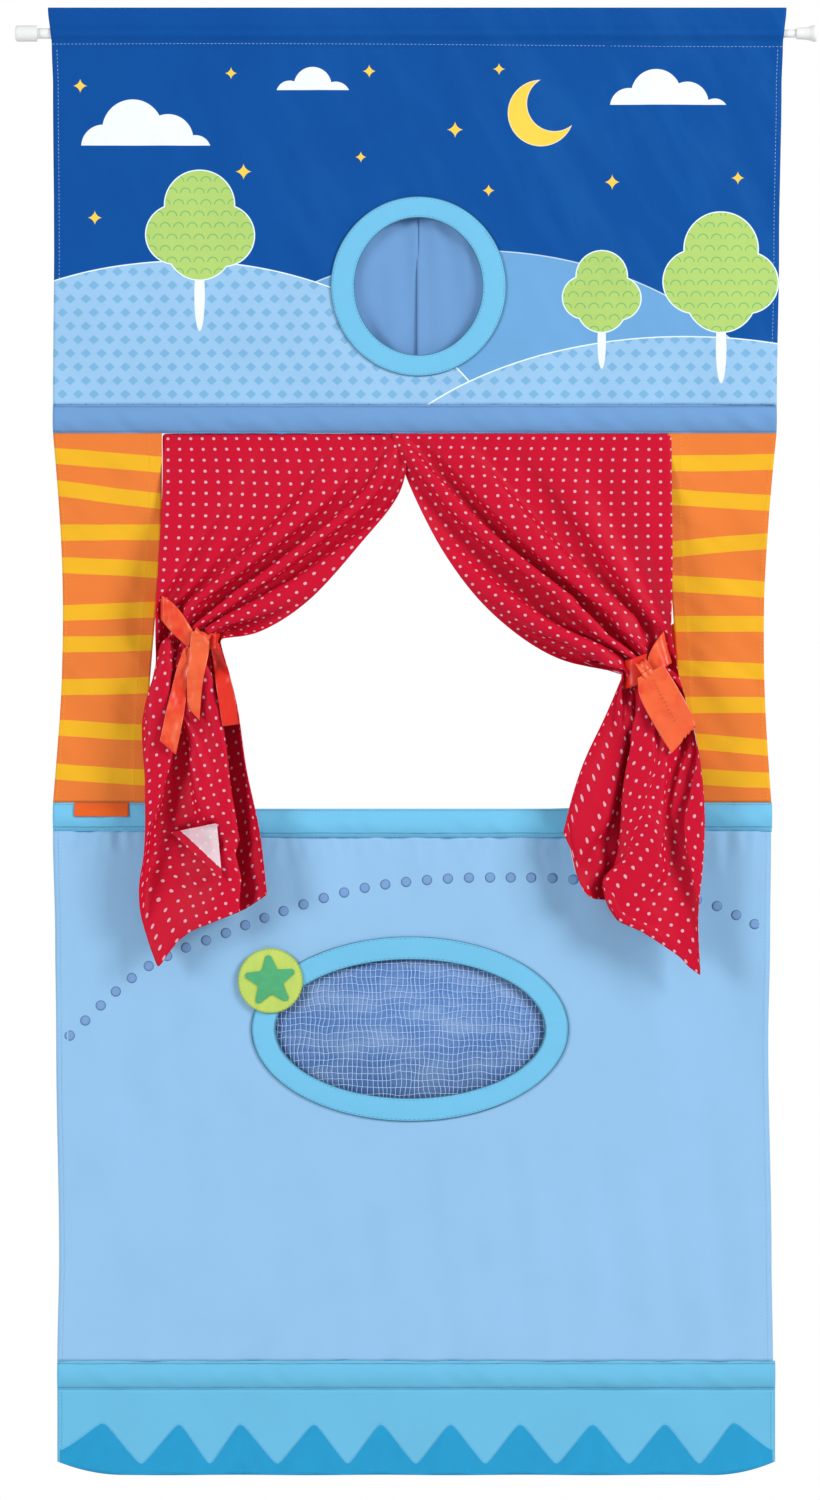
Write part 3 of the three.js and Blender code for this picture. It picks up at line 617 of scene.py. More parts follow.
def hem_row(edges, relief, top, foot, edge):
    """A row of stitches down the left (0) or the right (1) hem of a cloth."""
    inset = sizes().hem_stitch if edge == 0 else -sizes().hem_stitch

    def row(share):
        z = lerp(top, foot, share)
        x = edges(z)[edge] + inset
        return Vector((x, relief(x, z) - sizes().cloth / 2, z))
    return row


# The header cloth

PRINT_RIM = 1.1 * MM
MOON_RIM = 0.7 * MM
RIM_PALE = (0.85, 0.93, 0.97, 1.0)
RIM_OF_PATTERN = (0.8, 0.9, 0.95, 1.0)


def painted(finish, below, distance, paint, rim=0.0):
    """Paints a printed form, with a fine pale rim round it where a rim is given."""
    if rim:
        ground = paint if isinstance(paint, tuple) else RIM_OF_PATTERN
        edge = finish.mix(0.55, ground, RIM_PALE)
        below = finish.mix((distance - rim).inside(), below, edge)
    return finish.mix(distance.inside(), below, paint)


def oval_distance(x, z, middle_x, middle_z, half_width, half_height):
    """About how far a point lies outside an oval."""
    across = (x - middle_x) / half_width
    up = (z - middle_z) / half_height
    return ((across * across + up * up) ** 0.5 - 1.0) * min(half_width, half_height)


def printed_oval(x, z, form):
    """oval_distance of a printed form, given in millimetres."""
    return oval_distance(x, z, *(part * MM for part in form))


def puff_distance(x, z, puffs):
    """About how far a point lies outside a cloud or a tree made of round puffs."""
    return reduce(Value.least, (printed_oval(x, z, (*puff, puff[2])) for puff in puffs))


# Printed forms of the header, in millimetres: the middle of each, then half its width and height,
# or the radius of a round puff or a star
FAR_HILL = (440, -470, 330, 262)
LEFT_HILL = (160, -480, 330, 262)
RIGHT_HILL = (640, -486, 330, 196)
CLOUDS = (
    ((84, -108, 21), (112, -92, 29), (146, -101, 24), (116, -112, 22), (172, -112, 15)),
    ((586, -70, 18), (612, -58, 24), (642, -66, 20), (668, -75, 13), (622, -74, 18)),
    ((262, -58, 13), (284, -50, 18), (306, -60, 14), (284, -60, 14)),
)
TREES = (
    ((176, -164, 33), (153, -192, 28), (199, -193, 29), (176, -204, 31), (176, -184, 30)),
    ((560, -232, 24), (543, -252, 20), (577, -253, 20), (560, -262, 23), (560, -246, 22)),
    ((674, -206, 35), (649, -237, 30), (699, -238, 29), (674, -252, 33), (674, -230, 34)),
)
TRUNKS = ((176, -250, 5.0, 34), (560, -294, 4.0, 26), (674, -300, 5.0, 34))
MOON = (502, -76, 31, 31)
MOON_SHADE = (515, -67, 27, 27)
STARS = ((218, -132, 8), (338, -36, 6.5), (420, -92, 8), (452, -150, 6), (570, -142, 7.5),
         (62, -50, 7), (206, -38, 6), (690, -138, 6.5), (76, -176, 7), (462, -34, 6), (330, -118, 5.5))
STAR_POWER = 0.62
HILL_MARK_PITCH = (15 * MM, 13 * MM)
LEAF_PITCH = (13 * MM, 11 * MM)


def staggered(x, z, pitch):
    """Shares across and up the cells of a pattern in staggered rows."""
    row = z / pitch[1]
    shift = (row.math("FLOOR") * 0.5).part()
    return (x / pitch[0] + shift).part(), row.part()


def lozenges(x, z, pitch, fullness):
    """1 on small lozenges in staggered rows."""
    across, up = staggered(x, z, pitch)
    return ((abs(across - 0.5) + abs(up - 0.5) - fullness) * pitch[1]).inside()


def sprigs(x, z, pitch):
    """1 on small arcs in staggered rows, like drawn leaves."""
    cell_across, cell_up = staggered(x, z, pitch)
    across = (cell_across - 0.5) * pitch[0]
    up = (cell_up - 0.15) * pitch[1]
    ring = abs((across * across + up * up) ** 0.5 - 0.36 * pitch[0]) - 0.5 * MM
    return ring.inside() * (-up).inside()


def night_scene(finish, x, z):
    """A plain printed night: hills with marks, clouds, trees, a moon and stars, on a ground with paler
    streaks of painted sheen that grow towards the right.
    """
    # Painted sheen: paler diagonal streaks, stronger towards the right, where light falls on the header's
    # folds
    streaks = finish.noise(finish.vector(x * 2.4 + z * 1.3, 0.0, z * 0.6 - x * 0.3), 8.0, 4.0, 0.6)
    painted_sheen = ((streaks - 0.45) * 3.0).clamped() * (x * 1.3).least(0.8)
    colour = finish.mix(painted_sheen * 0.5, colour_of("night"), colour_of("night_painted_sheen"))
    marked = finish.mix(lozenges(x, z, HILL_MARK_PITCH, 0.34), colour_of("hill"), colour_of("hill_mark"))
    leaves = finish.mix(sprigs(x, z, LEAF_PITCH), colour_of("lime"), colour_of("leaf"))
    for star_x, star_z, radius in STARS:
        lobes = abs(x - star_x * MM) ** STAR_POWER + abs(z - star_z * MM) ** STAR_POWER
        colour = painted(finish, colour, (lobes ** (1 / STAR_POWER)) - radius * MM, colour_of("moon"))
    crescent = printed_oval(x, z, MOON).most(-printed_oval(x, z, MOON_SHADE))
    colour = painted(finish, colour, crescent, colour_of("moon"), MOON_RIM)
    for cloud in CLOUDS:
        puffs = puff_distance(x, z, cloud)
        foot = (max(puff[1] - puff[2] for puff in cloud) + 14) * MM - z
        colour = painted(finish, colour, puffs.most(foot), colour_of("cloud"))
    for hill, paint in ((FAR_HILL, colour_of("far_hill")), (LEFT_HILL, marked), (RIGHT_HILL, marked)):
        colour = painted(finish, colour, printed_oval(x, z, hill), paint, PRINT_RIM)
    for trunk, tree in zip(TRUNKS, TREES):
        colour = painted(finish, colour, printed_oval(x, z, trunk), colour_of("cloud"))
        colour = painted(finish, colour, puff_distance(x, z, tree), leaves, PRINT_RIM)
    return colour


# How far the pocket stands out at the rod's middle, and the height over which it closes
POCKET_STAND = 5.9 * MM
POCKET_CLOSE = 6.0 * MM


def pocket_stand(z):
    """How far the header's cloth stands out round the rod at a height."""
    reach = sizes().cloth * 0.9
    return reach + (POCKET_STAND - reach) * math.exp(-((z / POCKET_CLOSE) ** 2))


def header_wave(x, z):
    """The header's relief, of which a quarter is left round the rod."""
    return header_relief(x, z) if z < POCKET_FOOT else 0.25 * header_relief(x, POCKET_FOOT)


def header_front(x, z):
    """Where the middle of the header's front layer lies."""
    return header_wave(x, z) - (0.0 if z < POCKET_FOOT else pocket_stand(z))


def header_stations():
    """Y and Z of the header's section: up its back, over the top and down its front."""
    rows = 16
    pocket = [lerp(POCKET_FOOT + 1.2 * MM, HEADING - 1.5 * MM, i / rows) for i in range(rows + 1)]
    stations = [(0.9 * MM, POCKET_FOOT - 1.0 * MM)]
    stations += [(pocket_stand(z), z) for z in pocket]
    stations += [(0.35 * MM, HEADING - 0.5 * MM), (-0.35 * MM, HEADING - 0.5 * MM)]
    stations += [(-pocket_stand(z), z) for z in reversed(pocket)]
    below = cells(POCKET_FOOT - HEADER_FOOT)
    stations += [(0.0, lerp(POCKET_FOOT - 1.0 * MM, HEADER_FOOT, i / below)) for i in range(below + 1)]
    return stations


class THEATRE_OT_header(bpy.types.Operator):
    """Hang the printed header cloth on the rod, with its pocket, its hems and its stitches"""

    bl_idname = "theatre.header"
    bl_label = "Header cloth"

    def execute(self, context):
        stations = header_stations()
        rows = len(stations) - 1

        def place(u, v):
            y, z = stations[round(v * rows)]
            left, right = header_edges(z)
            x = lerp(left, right, u)
            wave = header_wave(x, z)
            return Vector((x, y + (wave if y <= 0 else -wave * 0.3), z))

        shape, _ = cloth_grid(cells(FRONT_WIDTH), rows, place)
        cut_hole(shape, WINDOW, WINDOW_OPEN)
        finishes = [cotton("header_print", night_scene, uneven=0.14, roughness=0.75),
                    reverse_of("header_reverse", colour_of("night"), 0.12)]
        piece = keep(shape, "header_cloth", finishes, "header", "header_cloth", ["header_panel"])
        thicken(piece, sizes().cloth)
        self.stitch()
        return {"FINISHED"}

    def stitch(self):
        def pocket(share):
            """The pocket's seam, which wavers a little."""
            z = POCKET_FOOT + (1.6 + 0.9 * math.sin(5.0 * share) - 1.4 * share) * MM
            x = lerp(*header_edges(POCKET_FOOT), share)
            return Vector((x, header_front(x, z) - sizes().cloth / 2 - 0.3 * MM, z))

        top = POCKET_FOOT - 3 * MM
        sides = [hem_row(header_edges, header_front, top, HEADER_FOOT, edge) for edge in (0, 1)]
        sew("header_stitches", [pocket, *sides], colour_of("thread"), "header", "header_cloth")


def cut_hole(shape, middle, opening):
    """Takes the grid's cells out of an oval that an opening leaves free, and draws the edge onto it."""
    half = [part + 3 * MM for part in opening]

    def in_oval(face):
        spot = face.calc_center_median()
        return spot.z < POCKET_FOOT and from_oval(spot.x, spot.z, middle, half) < 1.0

    bmesh.ops.delete(shape, geom=[face for face in shape.faces if in_oval(face)], context="FACES")
    for corner in shape.verts:
        reach = from_oval(corner.co.x, corner.co.z, middle, half)
        if corner.is_boundary and reach < 1.3 and corner.co.z < POCKET_FOOT:
            corner.co.x = middle.x + (corner.co.x - middle.x) / reach
            corner.co.z = middle.z + (corner.co.z - middle.z) / reach


# Sewn rings, round and oval

def ring_shape(middle, outer, inner, back, thickness, turns):
    """A flat padded ring: a rounded section spun round, then drawn onto its two ovals."""
    shape = bmesh.new()
    section = bmesh.ops.create_circle(shape, cap_ends=False, segments=14, radius=0.5,
                                      matrix=Matrix.Translation((1.5, 0.0, 0.0)) @ FACING_FRONT)
    edges = {edge for vert in section["verts"] for edge in vert.link_edges}
    bmesh.ops.spin(shape, geom=section["verts"] + list(edges), cent=(0.0, 0.0, 0.0), axis=(0.0, 0.0, 1.0),
                   angle=2 * math.pi, steps=turns, use_merge=True, use_duplicate=False)
    bmesh.ops.remove_doubles(shape, verts=shape.verts, dist=1e-5)
    for corner in shape.verts:
        angle = math.atan2(corner.co.y, corner.co.x)
        share = math.hypot(corner.co.x, corner.co.y) - 1.0
        level = corner.co.z * 2.0
        share = 0.5 + 0.5 * math.copysign(abs(2 * share - 1) ** 0.6, 2 * share - 1)
        across = lerp(inner[0], outer[0], share)
        up = lerp(inner[1], outer[1], share)
        pucker = noise.noise(Vector((math.cos(angle) * 16.0, math.sin(angle) * 16.0, share * 1.2)))
        wrinkle = 1.0 + 0.5 * noise.noise(Vector((angle * 9.0, share * 2.0, 1.3))) + 0.5 * pucker
        depth = back - thickness * (0.5 + 0.5 * level * (wrinkle if level > 0 else 1.0))
        corner.co = Vector((middle.x + across * math.cos(angle), depth, middle.z + up * math.sin(angle)))
    bmesh.ops.recalc_face_normals(shape, faces=shape.faces)
    return shape


def ringed(middle, outer, inner):
    """Turquoise with a thin dark seam along both edges of a ring."""
    def paint(finish, x, z):
        seam = reduce(Value.most, (
            (abs(oval_distance(x, z, middle.x, middle.z, *half)) - 0.9 * MM).inside(0.6 * MM)
            for half in (outer, inner)))
        wave = finish.noise(finish.vector(x, 0.0, z), 60.0, 2.0)
        turquoise = colour_of("turquoise")
        return finish.mix(seam * (0.5 + wave * 0.6), turquoise, darker(turquoise, 0.25))
    return paint


def round_row(middle, half, wider, y):
    """A row of stitches round an oval, wider than its half width and height by a distance."""
    def row(share):
        angle = 2 * math.pi * share
        return Vector((middle.x + (half[0] + wider) * math.cos(angle), y,
                       middle.z + (half[1] + wider) * math.sin(angle)))
    return row


# How far a ring's stitches lie from its edges, and at which share of its thickness
RING_SEAM = 2.2 * MM
RING_FACE = 0.86


def sew_ring(name, body, middle, outer, inner, shade, turns):
    """A padded turquoise ring round a window, with a row of stitches along both its edges."""
    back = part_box(name + "_ring")[1].y
    ring = ring_shape(middle, outer, inner, back, sizes().trim, turns)
    finish = cotton(name + "_turquoise", ringed(middle, outer, inner))
    keep(ring, name + "_trim", [finish], body, "turquoise_cloth", [name + "_ring"])
    front = back - sizes().trim * RING_FACE
    rows = [round_row(middle, outer, -RING_SEAM, front), round_row(middle, inner, RING_SEAM, front)]
    sew(name + "_stitches", rows, darker(colour_of("turquoise"), shade), body, "turquoise_cloth")


class THEATRE_OT_porthole(bpy.types.Operator):
    """Sew the turquoise ring round the window and hang the two flaps behind it"""

    bl_idname = "theatre.porthole"
    bl_label = "Round window"

    def execute(self, context):
        sew_ring("porthole", "header", WINDOW, WINDOW_RING, WINDOW_OPEN, shade=0.55, turns=160)
        for side, name in ((-1, "left"), (1, "right")):
            self.flap(side, name)
        return {"FINISHED"}

    def flap(self, side, name):
        node = f"porthole_flap_{name}"
        low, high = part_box(node)
        outer, inner = (low.x, high.x) if side < 0 else (high.x, low.x)
        near = low.y + 0.6 * MM
        sag = high.y - 0.6 * MM - near
        overlap = 1.6 * MM if side > 0 else 0.0

        def place(u, v):
            x = lerp(outer, inner - side * overlap, u)
            z = lerp(high.z, low.z, v)
            hanging = math.sin(math.pi * min(1.0, 0.15 + v * 0.85))
            ripple = crumple(x, z, 21 * MM, 3.0 * MM, 4.0 + side, 0.05, 4.0) * smoothstep(u, 0.05, 0.35)
            forward = 0.9 * MM if side > 0 else 0.0
            hem = hem_step((1 - u) * (high.x - low.x), 8 * MM, 0.5 * MM)
            y = near + sag * math.sin(u * math.pi / 2) * (0.85 + 0.15 * hanging) + ripple - forward + hem
            return Vector((x, max(y, near), z))

        shape, _ = cloth_grid(26, 52, place)
        if side > 0:
            bmesh.ops.reverse_faces(shape, faces=shape.faces)
        finish = cotton("flap_blue_" + name, colour_of("blue"))
        piece = keep(shape, f"{name}_flap_cloth", [finish], f"flap_{name}", "blue_cloth", [node])
        thicken(piece, sizes().cloth * 0.8)


# The three bands, with a stiffening dowel in each

BAND_WALL = 1.0 * MM
BAND_EDGE = 0.6 * MM
BAND_INSET = 1.6 * MM
# Each band's body, dye and slot, the height of its creases, and its seams: their heights as shares of its
# own, with how dark each is
BANDS = {
    "pelmet": ("header", "blue", "blue_cloth", 0.9, ((0.06, 0.3), (0.93, 0.35))),
    "sill": ("lower", "turquoise", "turquoise_cloth", 0.7, ((0.14, 0.7), (0.95, 0.1))),
    "hem": ("lower", "hem_blue", "turquoise_cloth", 0.7, ((0.08, 0.4), (0.92, 0.45))),
}


def band_stand(low, high, z):
    """How far a band's cloth stands out from the middle at a height."""
    share = 2 * (z - low.z) / (high.z - low.z) - 1
    return BAND_EDGE + ((high.y - low.y) / 2 - BAND_EDGE) * (1 - share * share)


def band_sag(name, x):
    """How far a band hangs through."""
    return sill_sag(x) if name == "sill" else 0.0


def band_paint(name, colour, low, high, seams):
    """The band's dye with the dark line of each seam, a little wavy."""
    def paint(finish, x, z):
        wave = finish.noise(finish.vector(x, 0.0, 0.0), 22.0, 3.0) * 1.6 * MM - 0.8 * MM
        if name == "sill":
            wave = wave + x.eased(*SAG_LEFT) * x.eased(*SAG_RIGHT) * SILL_SAG
        broken = finish.noise(finish.vector(x, 0.0, z), 90.0, 2.0)

        def line(at, depth):
            away = abs(z + wave - lerp(low.z, high.z, at)) - 0.35 * MM
            return away.inside(0.5 * MM) * (broken * 0.9 + (depth - 0.3))

        lines = reduce(Value.most, (line(at, depth) for at, depth in seams))
        return finish.mix(lines.clamped(), colour, darker(colour, 0.3))
    return paint


def band_crease(name, x, z):
    seed = 3.0 * len(name)
    return (crumple(x, z, 11 * MM, 1.7 * MM, seed, 0.85, 2.6)
            + crumple(x, z, 40 * MM, 1.6 * MM, seed + 4.0, 0.3, 2.0))


class THEATRE_OT_bands(bpy.types.Operator):
    """Sew the pelmet, sill and hem bands round their dowels"""

    bl_idname = "theatre.bands"
    bl_label = "Bands and dowels"

    def execute(self, context):
        for name, (body, dyed, slot, height, seams) in BANDS.items():
            self.band(name, body, colour_of(dyed), slot, height, seams)
        return {"FINISHED"}

    def band(self, name, body, colour, slot, height, seams):
        node = name + "_band"
        low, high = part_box(node)

        def place(u, v):
            x = lerp(low.x, high.x, u)
            turn = 2 * math.pi * v
            z = lerp(low.z, high.z, 0.5 + 0.5 * math.cos(turn))
            sag = band_sag(name, x)
            stand = max(band_stand(low, high, z) - BAND_WALL / 2, 0.15 * MM) + SAG_BULGE * sag
            on_seam = abs(math.sin(turn))
            y = -stand * math.copysign(1.0, math.sin(turn)) if on_seam > 1e-6 else 0.0
            crease = height * band_crease(name, x, z) * on_seam
            return Vector((x, y + (crease if y < 0 else -crease), z + 0.5 * crease * on_seam - sag))

        def stitches(z):
            def row(share):
                x = lerp(low.x + 1 * MM, high.x - 1 * MM, share)
                sag = band_sag(name, x)
                stand = band_stand(low, high, z) + SAG_BULGE * sag
                return Vector((x, -stand + height * band_crease(name, x, z) * 0.5, z - sag))
            return row

        shape, _ = cloth_grid(cells(high.x - low.x), 28, place)
        bmesh.ops.remove_doubles(shape, verts=shape.verts, dist=0.02 * MM)
        finish = cotton(name + "_cotton", band_paint(name, colour, low, high, seams))
        piece = keep(shape, f"{name}_sleeve", [finish], body, slot, [node])
        thicken(piece, BAND_WALL * 0.8)
        rows = [stitches(low.z + BAND_INSET), stitches(high.z - BAND_INSET)]
        sew(f"{name}_stitches", rows, darker(colour, 0.62), body, slot)


# The striped pillars

PILLAR_TOP_WIDTH = 104 * MM
PILLAR_FOOT_WIDTHS = {"left": 89.5 * MM, "right": 92 * MM}
PILLAR_FOOT_INSETS = {"left": 0.0, "right": 5 * MM}
DRAW_IN = 9.6 * MM
FACING = 13.5 * MM
# Middles of the yellow stripes below the rod, at the pillar's left and right, in millimetres
STRIPE_PLACES = {
    "left": ((404, 411), (435, 446), (476.5, 476.5), (507.5, 512), (553.5, 550), (584, 582),
             (624.5, 622), (663.5, 668), (705.5, 711)),
    "right": ((410.8, 409.4), (443, 448), (492.3, 485.2), (524.8, 530.6), (563.7, 563.7), (606, 609.7),
              (641.4, 641.4), (674, 681.6), (708.6, 713)),
}
STRIPE_HALF = 7.6 * MM


def pillar_edges(name, z):
    """The pillar's outer and inner edge at a height."""
    down = (STAGE_TOP - z) / (STAGE_TOP - STAGE_FOOT)
    inset = DRAW_IN * math.sin(math.pi * down) + PILLAR_FOOT_INSETS[name] * down
    narrowing = (PILLAR_TOP_WIDTH - PILLAR_FOOT_WIDTHS[name]) * smoothstep(down, 0.15, 0.9)
    if name == "left":
        return FRONT_LEFT + inset, FRONT_LEFT + PILLAR_TOP_WIDTH - narrowing
    return FRONT_RIGHT - inset, FRONT_RIGHT - PILLAR_TOP_WIDTH + narrowing


def pillar_relief(name, x, z):
    outer, inner = pillar_edges(name, z)
    seed = 1.0 if name == "left" else 6.0
    ripples = (crumple(x, z, 40 * MM, 4.2 * MM, seed, 0.5, 3.0)
               + crumple(x, z, 13 * MM, 0.9 * MM, seed + 2, 0.9, 3.0))
    hung = smoothstep(STAGE_TOP - z, 0.0, 30 * MM) * smoothstep(z - STAGE_FOOT, 0.0, 30 * MM)
    hems = hem_step(abs(x - inner), FACING, 0.4 * MM) + hem_step(abs(x - outer), 6 * MM, 0.3 * MM)
    return ripples * hung + hems


def stripes(name):
    """Paints uneven yellow stripes on orange."""
    def paint(finish, x, z):
        left, right = sorted(pillar_edges(name, (STAGE_TOP + STAGE_FOOT) / 2))
        share = (x - left) / (right - left)
        sway = finish.noise(finish.vector(x, 0.0, z), 14.0) * 3.0 * MM - 1.5 * MM

        def stripe(on_left, on_right):
            middle = share * ((on_left - on_right) * MM) - on_left * MM
            return (abs(z + sway - middle) - STRIPE_HALF).inside(0.35 * MM)

        yellow = reduce(Value.most, (stripe(*places) for places in STRIPE_PLACES[name]))
        return finish.mix(yellow, colour_of("orange"), colour_of("yellow"))
    return paint


class THEATRE_OT_pillars(bpy.types.Operator):
    """Hang the two striped pillars with their facings and stitches"""

    bl_idname = "theatre.pillars"
    bl_label = "Striped pillars"

    def execute(self, context):
        for name in ("left", "right"):
            self.pillar(name)
        return {"FINISHED"}

    def pillar(self, name):
        height = STAGE_TOP - STAGE_FOOT

        def place(u, v):
            z = lerp(STAGE_TOP, STAGE_FOOT, v)
            left, right = sorted(pillar_edges(name, z))
            x = lerp(left, right, u)
            return Vector((x, pillar_relief(name, x, z), z))

        shape, _ = cloth_grid(40, cells(height), place)
        finishes = [cotton(f"{name}_stripes", stripes(name)),
                    reverse_of(f"{name}_stripes_reverse", colour_of("orange"), 0.2)]
        piece = keep(shape, f"{name}_pillar_cloth", finishes, "stage", "striped_cloth", [f"pillar_{name}"])
        thicken(piece, sizes().cloth)

        def down(edge, inset):
            def row(share):
                z = lerp(STAGE_TOP - 2 * MM, STAGE_FOOT + 2 * MM, share)
                outer, inner = pillar_edges(name, z)
                toward = 1 if inner > outer else -1
                x = inner - toward * inset if edge == "inner" else outer + toward * inset
                return Vector((x, pillar_relief(name, x, z) - sizes().cloth / 2, z))
            return row

        sew(f"{name}_pillar_stitches", [down("inner", FACING - 1.5 * MM), down("outer", 3.5 * MM)],
            colour_of("yellow"), "stage", "striped_cloth")


# The tied curtains

CURTAIN_CLOTH = 0.7 * MM
CURTAIN_DROP = 516 * MM
CURTAIN_FRONT = -33 * MM
CURTAIN_BACK = -6.5 * MM
# Half the depth that a curtain's folds may take at its seam and where they open, and the drops between them
SEAM_HALF_DEPTH = 1.2 * MM
FOLD_HALF_DEPTH = 5.5 * MM
SEAM_REACH = (3 * MM, 24 * MM)
SETTLE_FRAMES = 120
GATHER_FRAMES = 30
CURTAIN_ROWS = 84
TIE_MIDDLE = -12 * MM
TIE_DEPTH = 8.5 * MM
# Each edge is a line that the hanging cloth follows down to its tie, and one from there to its foot,
# in millimetres from the left pad and below the rod
CURTAINS = {
    "left": {
        "side": -1, "seam": FRONT_LEFT + PILLAR_TOP_WIDTH + 0.2 * MM, "width": 236 * MM, "columns": 40,
        "lift": 1.0 * MM, "tie_out": 0.34, "tie_in": 0.55,
        "outer_above": ((140.2, 381.8), (140.2, 440), (137.6, 500), (134.8, 556)),
        "outer_below": ((134.8, 556), (134.6, 582), (133.8, 608), (125.8, 634), (121.5, 660), (123, 686),
                        (125, 711), (125.3, 737), (125.2, 763), (123.5, 789), (119.3, 815), (120.8, 841),
                        (127.8, 867), (137.7, 893)),
        "inner_above": ((376.6, 381.8), (368, 437), (330, 488), (282, 541), (236, 571), (196, 579)),
        "inner_below": ((196, 579), (212.5, 640), (221.8, 702), (234.5, 762), (241.5, 822)),
        "hem": ((137.7, 893), (145.4, 881), (155.9, 866), (172, 855), (190.5, 848), (220.7, 836),
                (241.5, 822)),
    },
    "right": {
        "side": 1, "seam": FRONT_RIGHT - PILLAR_TOP_WIDTH - 0.2 * MM, "width": 264 * MM, "columns": 44,
        "lift": -0.2 * MM, "tie_out": 0.372, "tie_in": 0.68,
        "outer_above": ((626.8, 381.8), (627, 446), (627, 510), (625, 575)),
        "outer_below": ((625, 575), (637, 628), (650.4, 681), (656.6, 735), (655.5, 789), (650.5, 843),
                        (652.6, 898)),
        "inner_above": ((358.4, 381.8), (379.5, 439), (413.8, 504), (458, 557), (515, 596), (580, 611)),
        "inner_below": ((580, 611), (563, 651), (545, 688), (531.8, 725.2), (521.9, 763.4)),
        "hem": ((521.9, 763.4), (529.6, 778.3), (534, 790), (535.5, 812), (549.8, 825.8), (569, 828),
                (572, 846), (582, 850.7), (596, 856.6), (612.8, 867.3), (634.2, 881.6), (640, 890),
                (652.6, 898.2)),
    },
}
# The corner of the left curtain that turns up and shows its lining: the two ends of its hem, then its tip
TURNED_CORNER = ((148.1, 762.4), (199.8, 808.7), (193.5, 753.5))
CORNER_FRONT = -41.5 * MM
CORNER_REACH = 4 * MM
LIP_HEIGHT = 8.0 * MM


def line_of(places):
    """The points of a line given in millimetres, from the left pad and below the rod."""
    return [Vector((x * MM, 0.0, -down * MM)) for x, down in places]


def edge_point(curtain, edge, v):
    """Where a curtain's outer or inner edge hangs, by its share down the cloth."""
    tie = curtain["tie_out"] if edge == "outer" else curtain["tie_in"]
    if v < tie:
        return along_curve(line_of(curtain[edge + "_above"]), v / tie)
    return along_curve(line_of(curtain[edge + "_below"]), (v - tie) / (1 - tie))


def zigzag(at):
    """A wave between -1 and 1 with straight sides."""
    return 2 * abs(2 * (at - math.floor(at + 0.5))) - 1


def spot_reach(finish):
    """How far a point of a curtain lies from the middle of its nearest spot, and where it is."""
    across, down = finish.flat_place()
    side = ((across / sizes().spot_pitch).part() - 0.5) * sizes().spot_pitch
    up = ((down / sizes().spot_row).part() - 0.5) * sizes().spot_row
    return (side * side + up * up) ** 0.5, across, down


def red_spots(finish, reach):
    """Red with small white spots, each in a faint dark edge."""
    spot = (reach - sizes().spot / 2).inside(0.5 * MM)
    halo = (reach - sizes().spot * 0.7).inside(1.2 * MM)
    ground = finish.mix(halo * 0.45, colour_of("red"), darker(colour_of("red"), 0.45))
    return finish.mix(spot, ground, colour_of("spot"))


def spotted(name):
    """The face of the curtains' cotton, whose spots follow the cloth."""
    finish = Finish(name, 0.5, specular=0.1)
    reach, across, down = spot_reach(finish)
    weave_onto(finish, across, down, red_spots(finish, reach), sizes().thread_pitch, uneven=0.16, grain=0.18)
    return finish.material


def lining(name, width):
    """The pale reverse, with the red of the turned hems round it."""
    finish = Finish(name, 0.75, sheen=0.04, specular=0.2)
    reach, across, down = spot_reach(finish)
    through = (reach - sizes().spot / 2).inside(1.2 * MM)
    pale = finish.mix(through * 0.5, colour_of("lining"), colour_of("cloud"))
    from_edge = across.least(width - across).least(CURTAIN_DROP - down)
    turned = (from_edge - sizes().curtain_hem).inside(0.3 * MM)
    colour = finish.mix(turned, pale, red_spots(finish, reach))
    weave_onto(finish, across, down, colour, sizes().thread_pitch, uneven=0.12, grain=0.14)
    return finish.material


def outward(curtain, u):
    """The share across a curtain counted from its outer edge."""
    return u if curtain["side"] < 0 else 1 - u


def hang_curtain(name, curtain):
    """The flat curtain with its top edge pinned and the line of its tie drawn into pleats."""
    width, rows = curtain["width"], CURTAIN_ROWS

    def flat_place(u, v):
        a = outward(curtain, u)
        x = curtain["seam"] - curtain["side"] * a * width
        return Vector((x, curtain["lift"] + 0.5 * MM * math.sin(9 * a), STAGE_TOP - v * CURTAIN_DROP))

    shape, shares = cloth_grid(curtain["columns"], rows, flat_place)
    map_flat(shape, shares, width, CURTAIN_DROP)
    places = [shares[corner] for corner in shape.verts]
    flat = linked(name, mesh_of(shape, name))
    pins = flat.vertex_groups.new(name="pins")
    flat.shape_key_add(name="flat")
    tied = flat.shape_key_add(name="tied")
    out_end = edge_point(curtain, "outer", curtain["tie_out"])
    in_end = edge_point(curtain, "inner", curtain["tie_in"])
    for index, (u, v) in enumerate(places):
        a = outward(curtain, u)
        below_tie = (v - lerp(curtain["tie_out"], curtain["tie_in"], a)) * CURTAIN_DROP
        if v < 0.5 / rows:
            pins.add([index], 1.0, "REPLACE")
        elif abs(below_tie) < 1.01 * CURTAIN_DROP / rows:
            pins.add([index], 1.0, "REPLACE")
            spot = out_end.lerp(in_end, a)
            spot.y = TIE_MIDDLE + TIE_DEPTH * zigzag(a * sizes().pleats)
            spot.z -= below_tie
            tied.data[index].co = spot
    tied.value = 0.0
    tied.keyframe_insert("value", frame=1)
    tied.value = 1.0
    tied.keyframe_insert("value", frame=GATHER_FRAMES)
    return flat, places


def add_cloth(flat):
    """Cloth that hangs under its own weight from its pins."""
    hang = flat.modifiers.new("hang", "CLOTH")
    fabric = hang.settings
    fabric.quality = 5
    fabric.mass = 0.05
    fabric.tension_stiffness = 30.0
    fabric.compression_stiffness = 30.0
    fabric.shear_stiffness = 8.0
    fabric.bending_stiffness = 0.05
    fabric.tension_damping = 5.0
    fabric.compression_damping = 5.0
    fabric.bending_damping = 0.5
    fabric.air_damping = 4.0
    fabric.vertex_group_mass = "pins"
    hang.collision_settings.use_self_collision = True
    hang.collision_settings.self_distance_min = 1.5 * MM
    hang.collision_settings.collision_quality = 2
    hang.point_cache.frame_start = 1
    hang.point_cache.frame_end = SETTLE_FRAMES


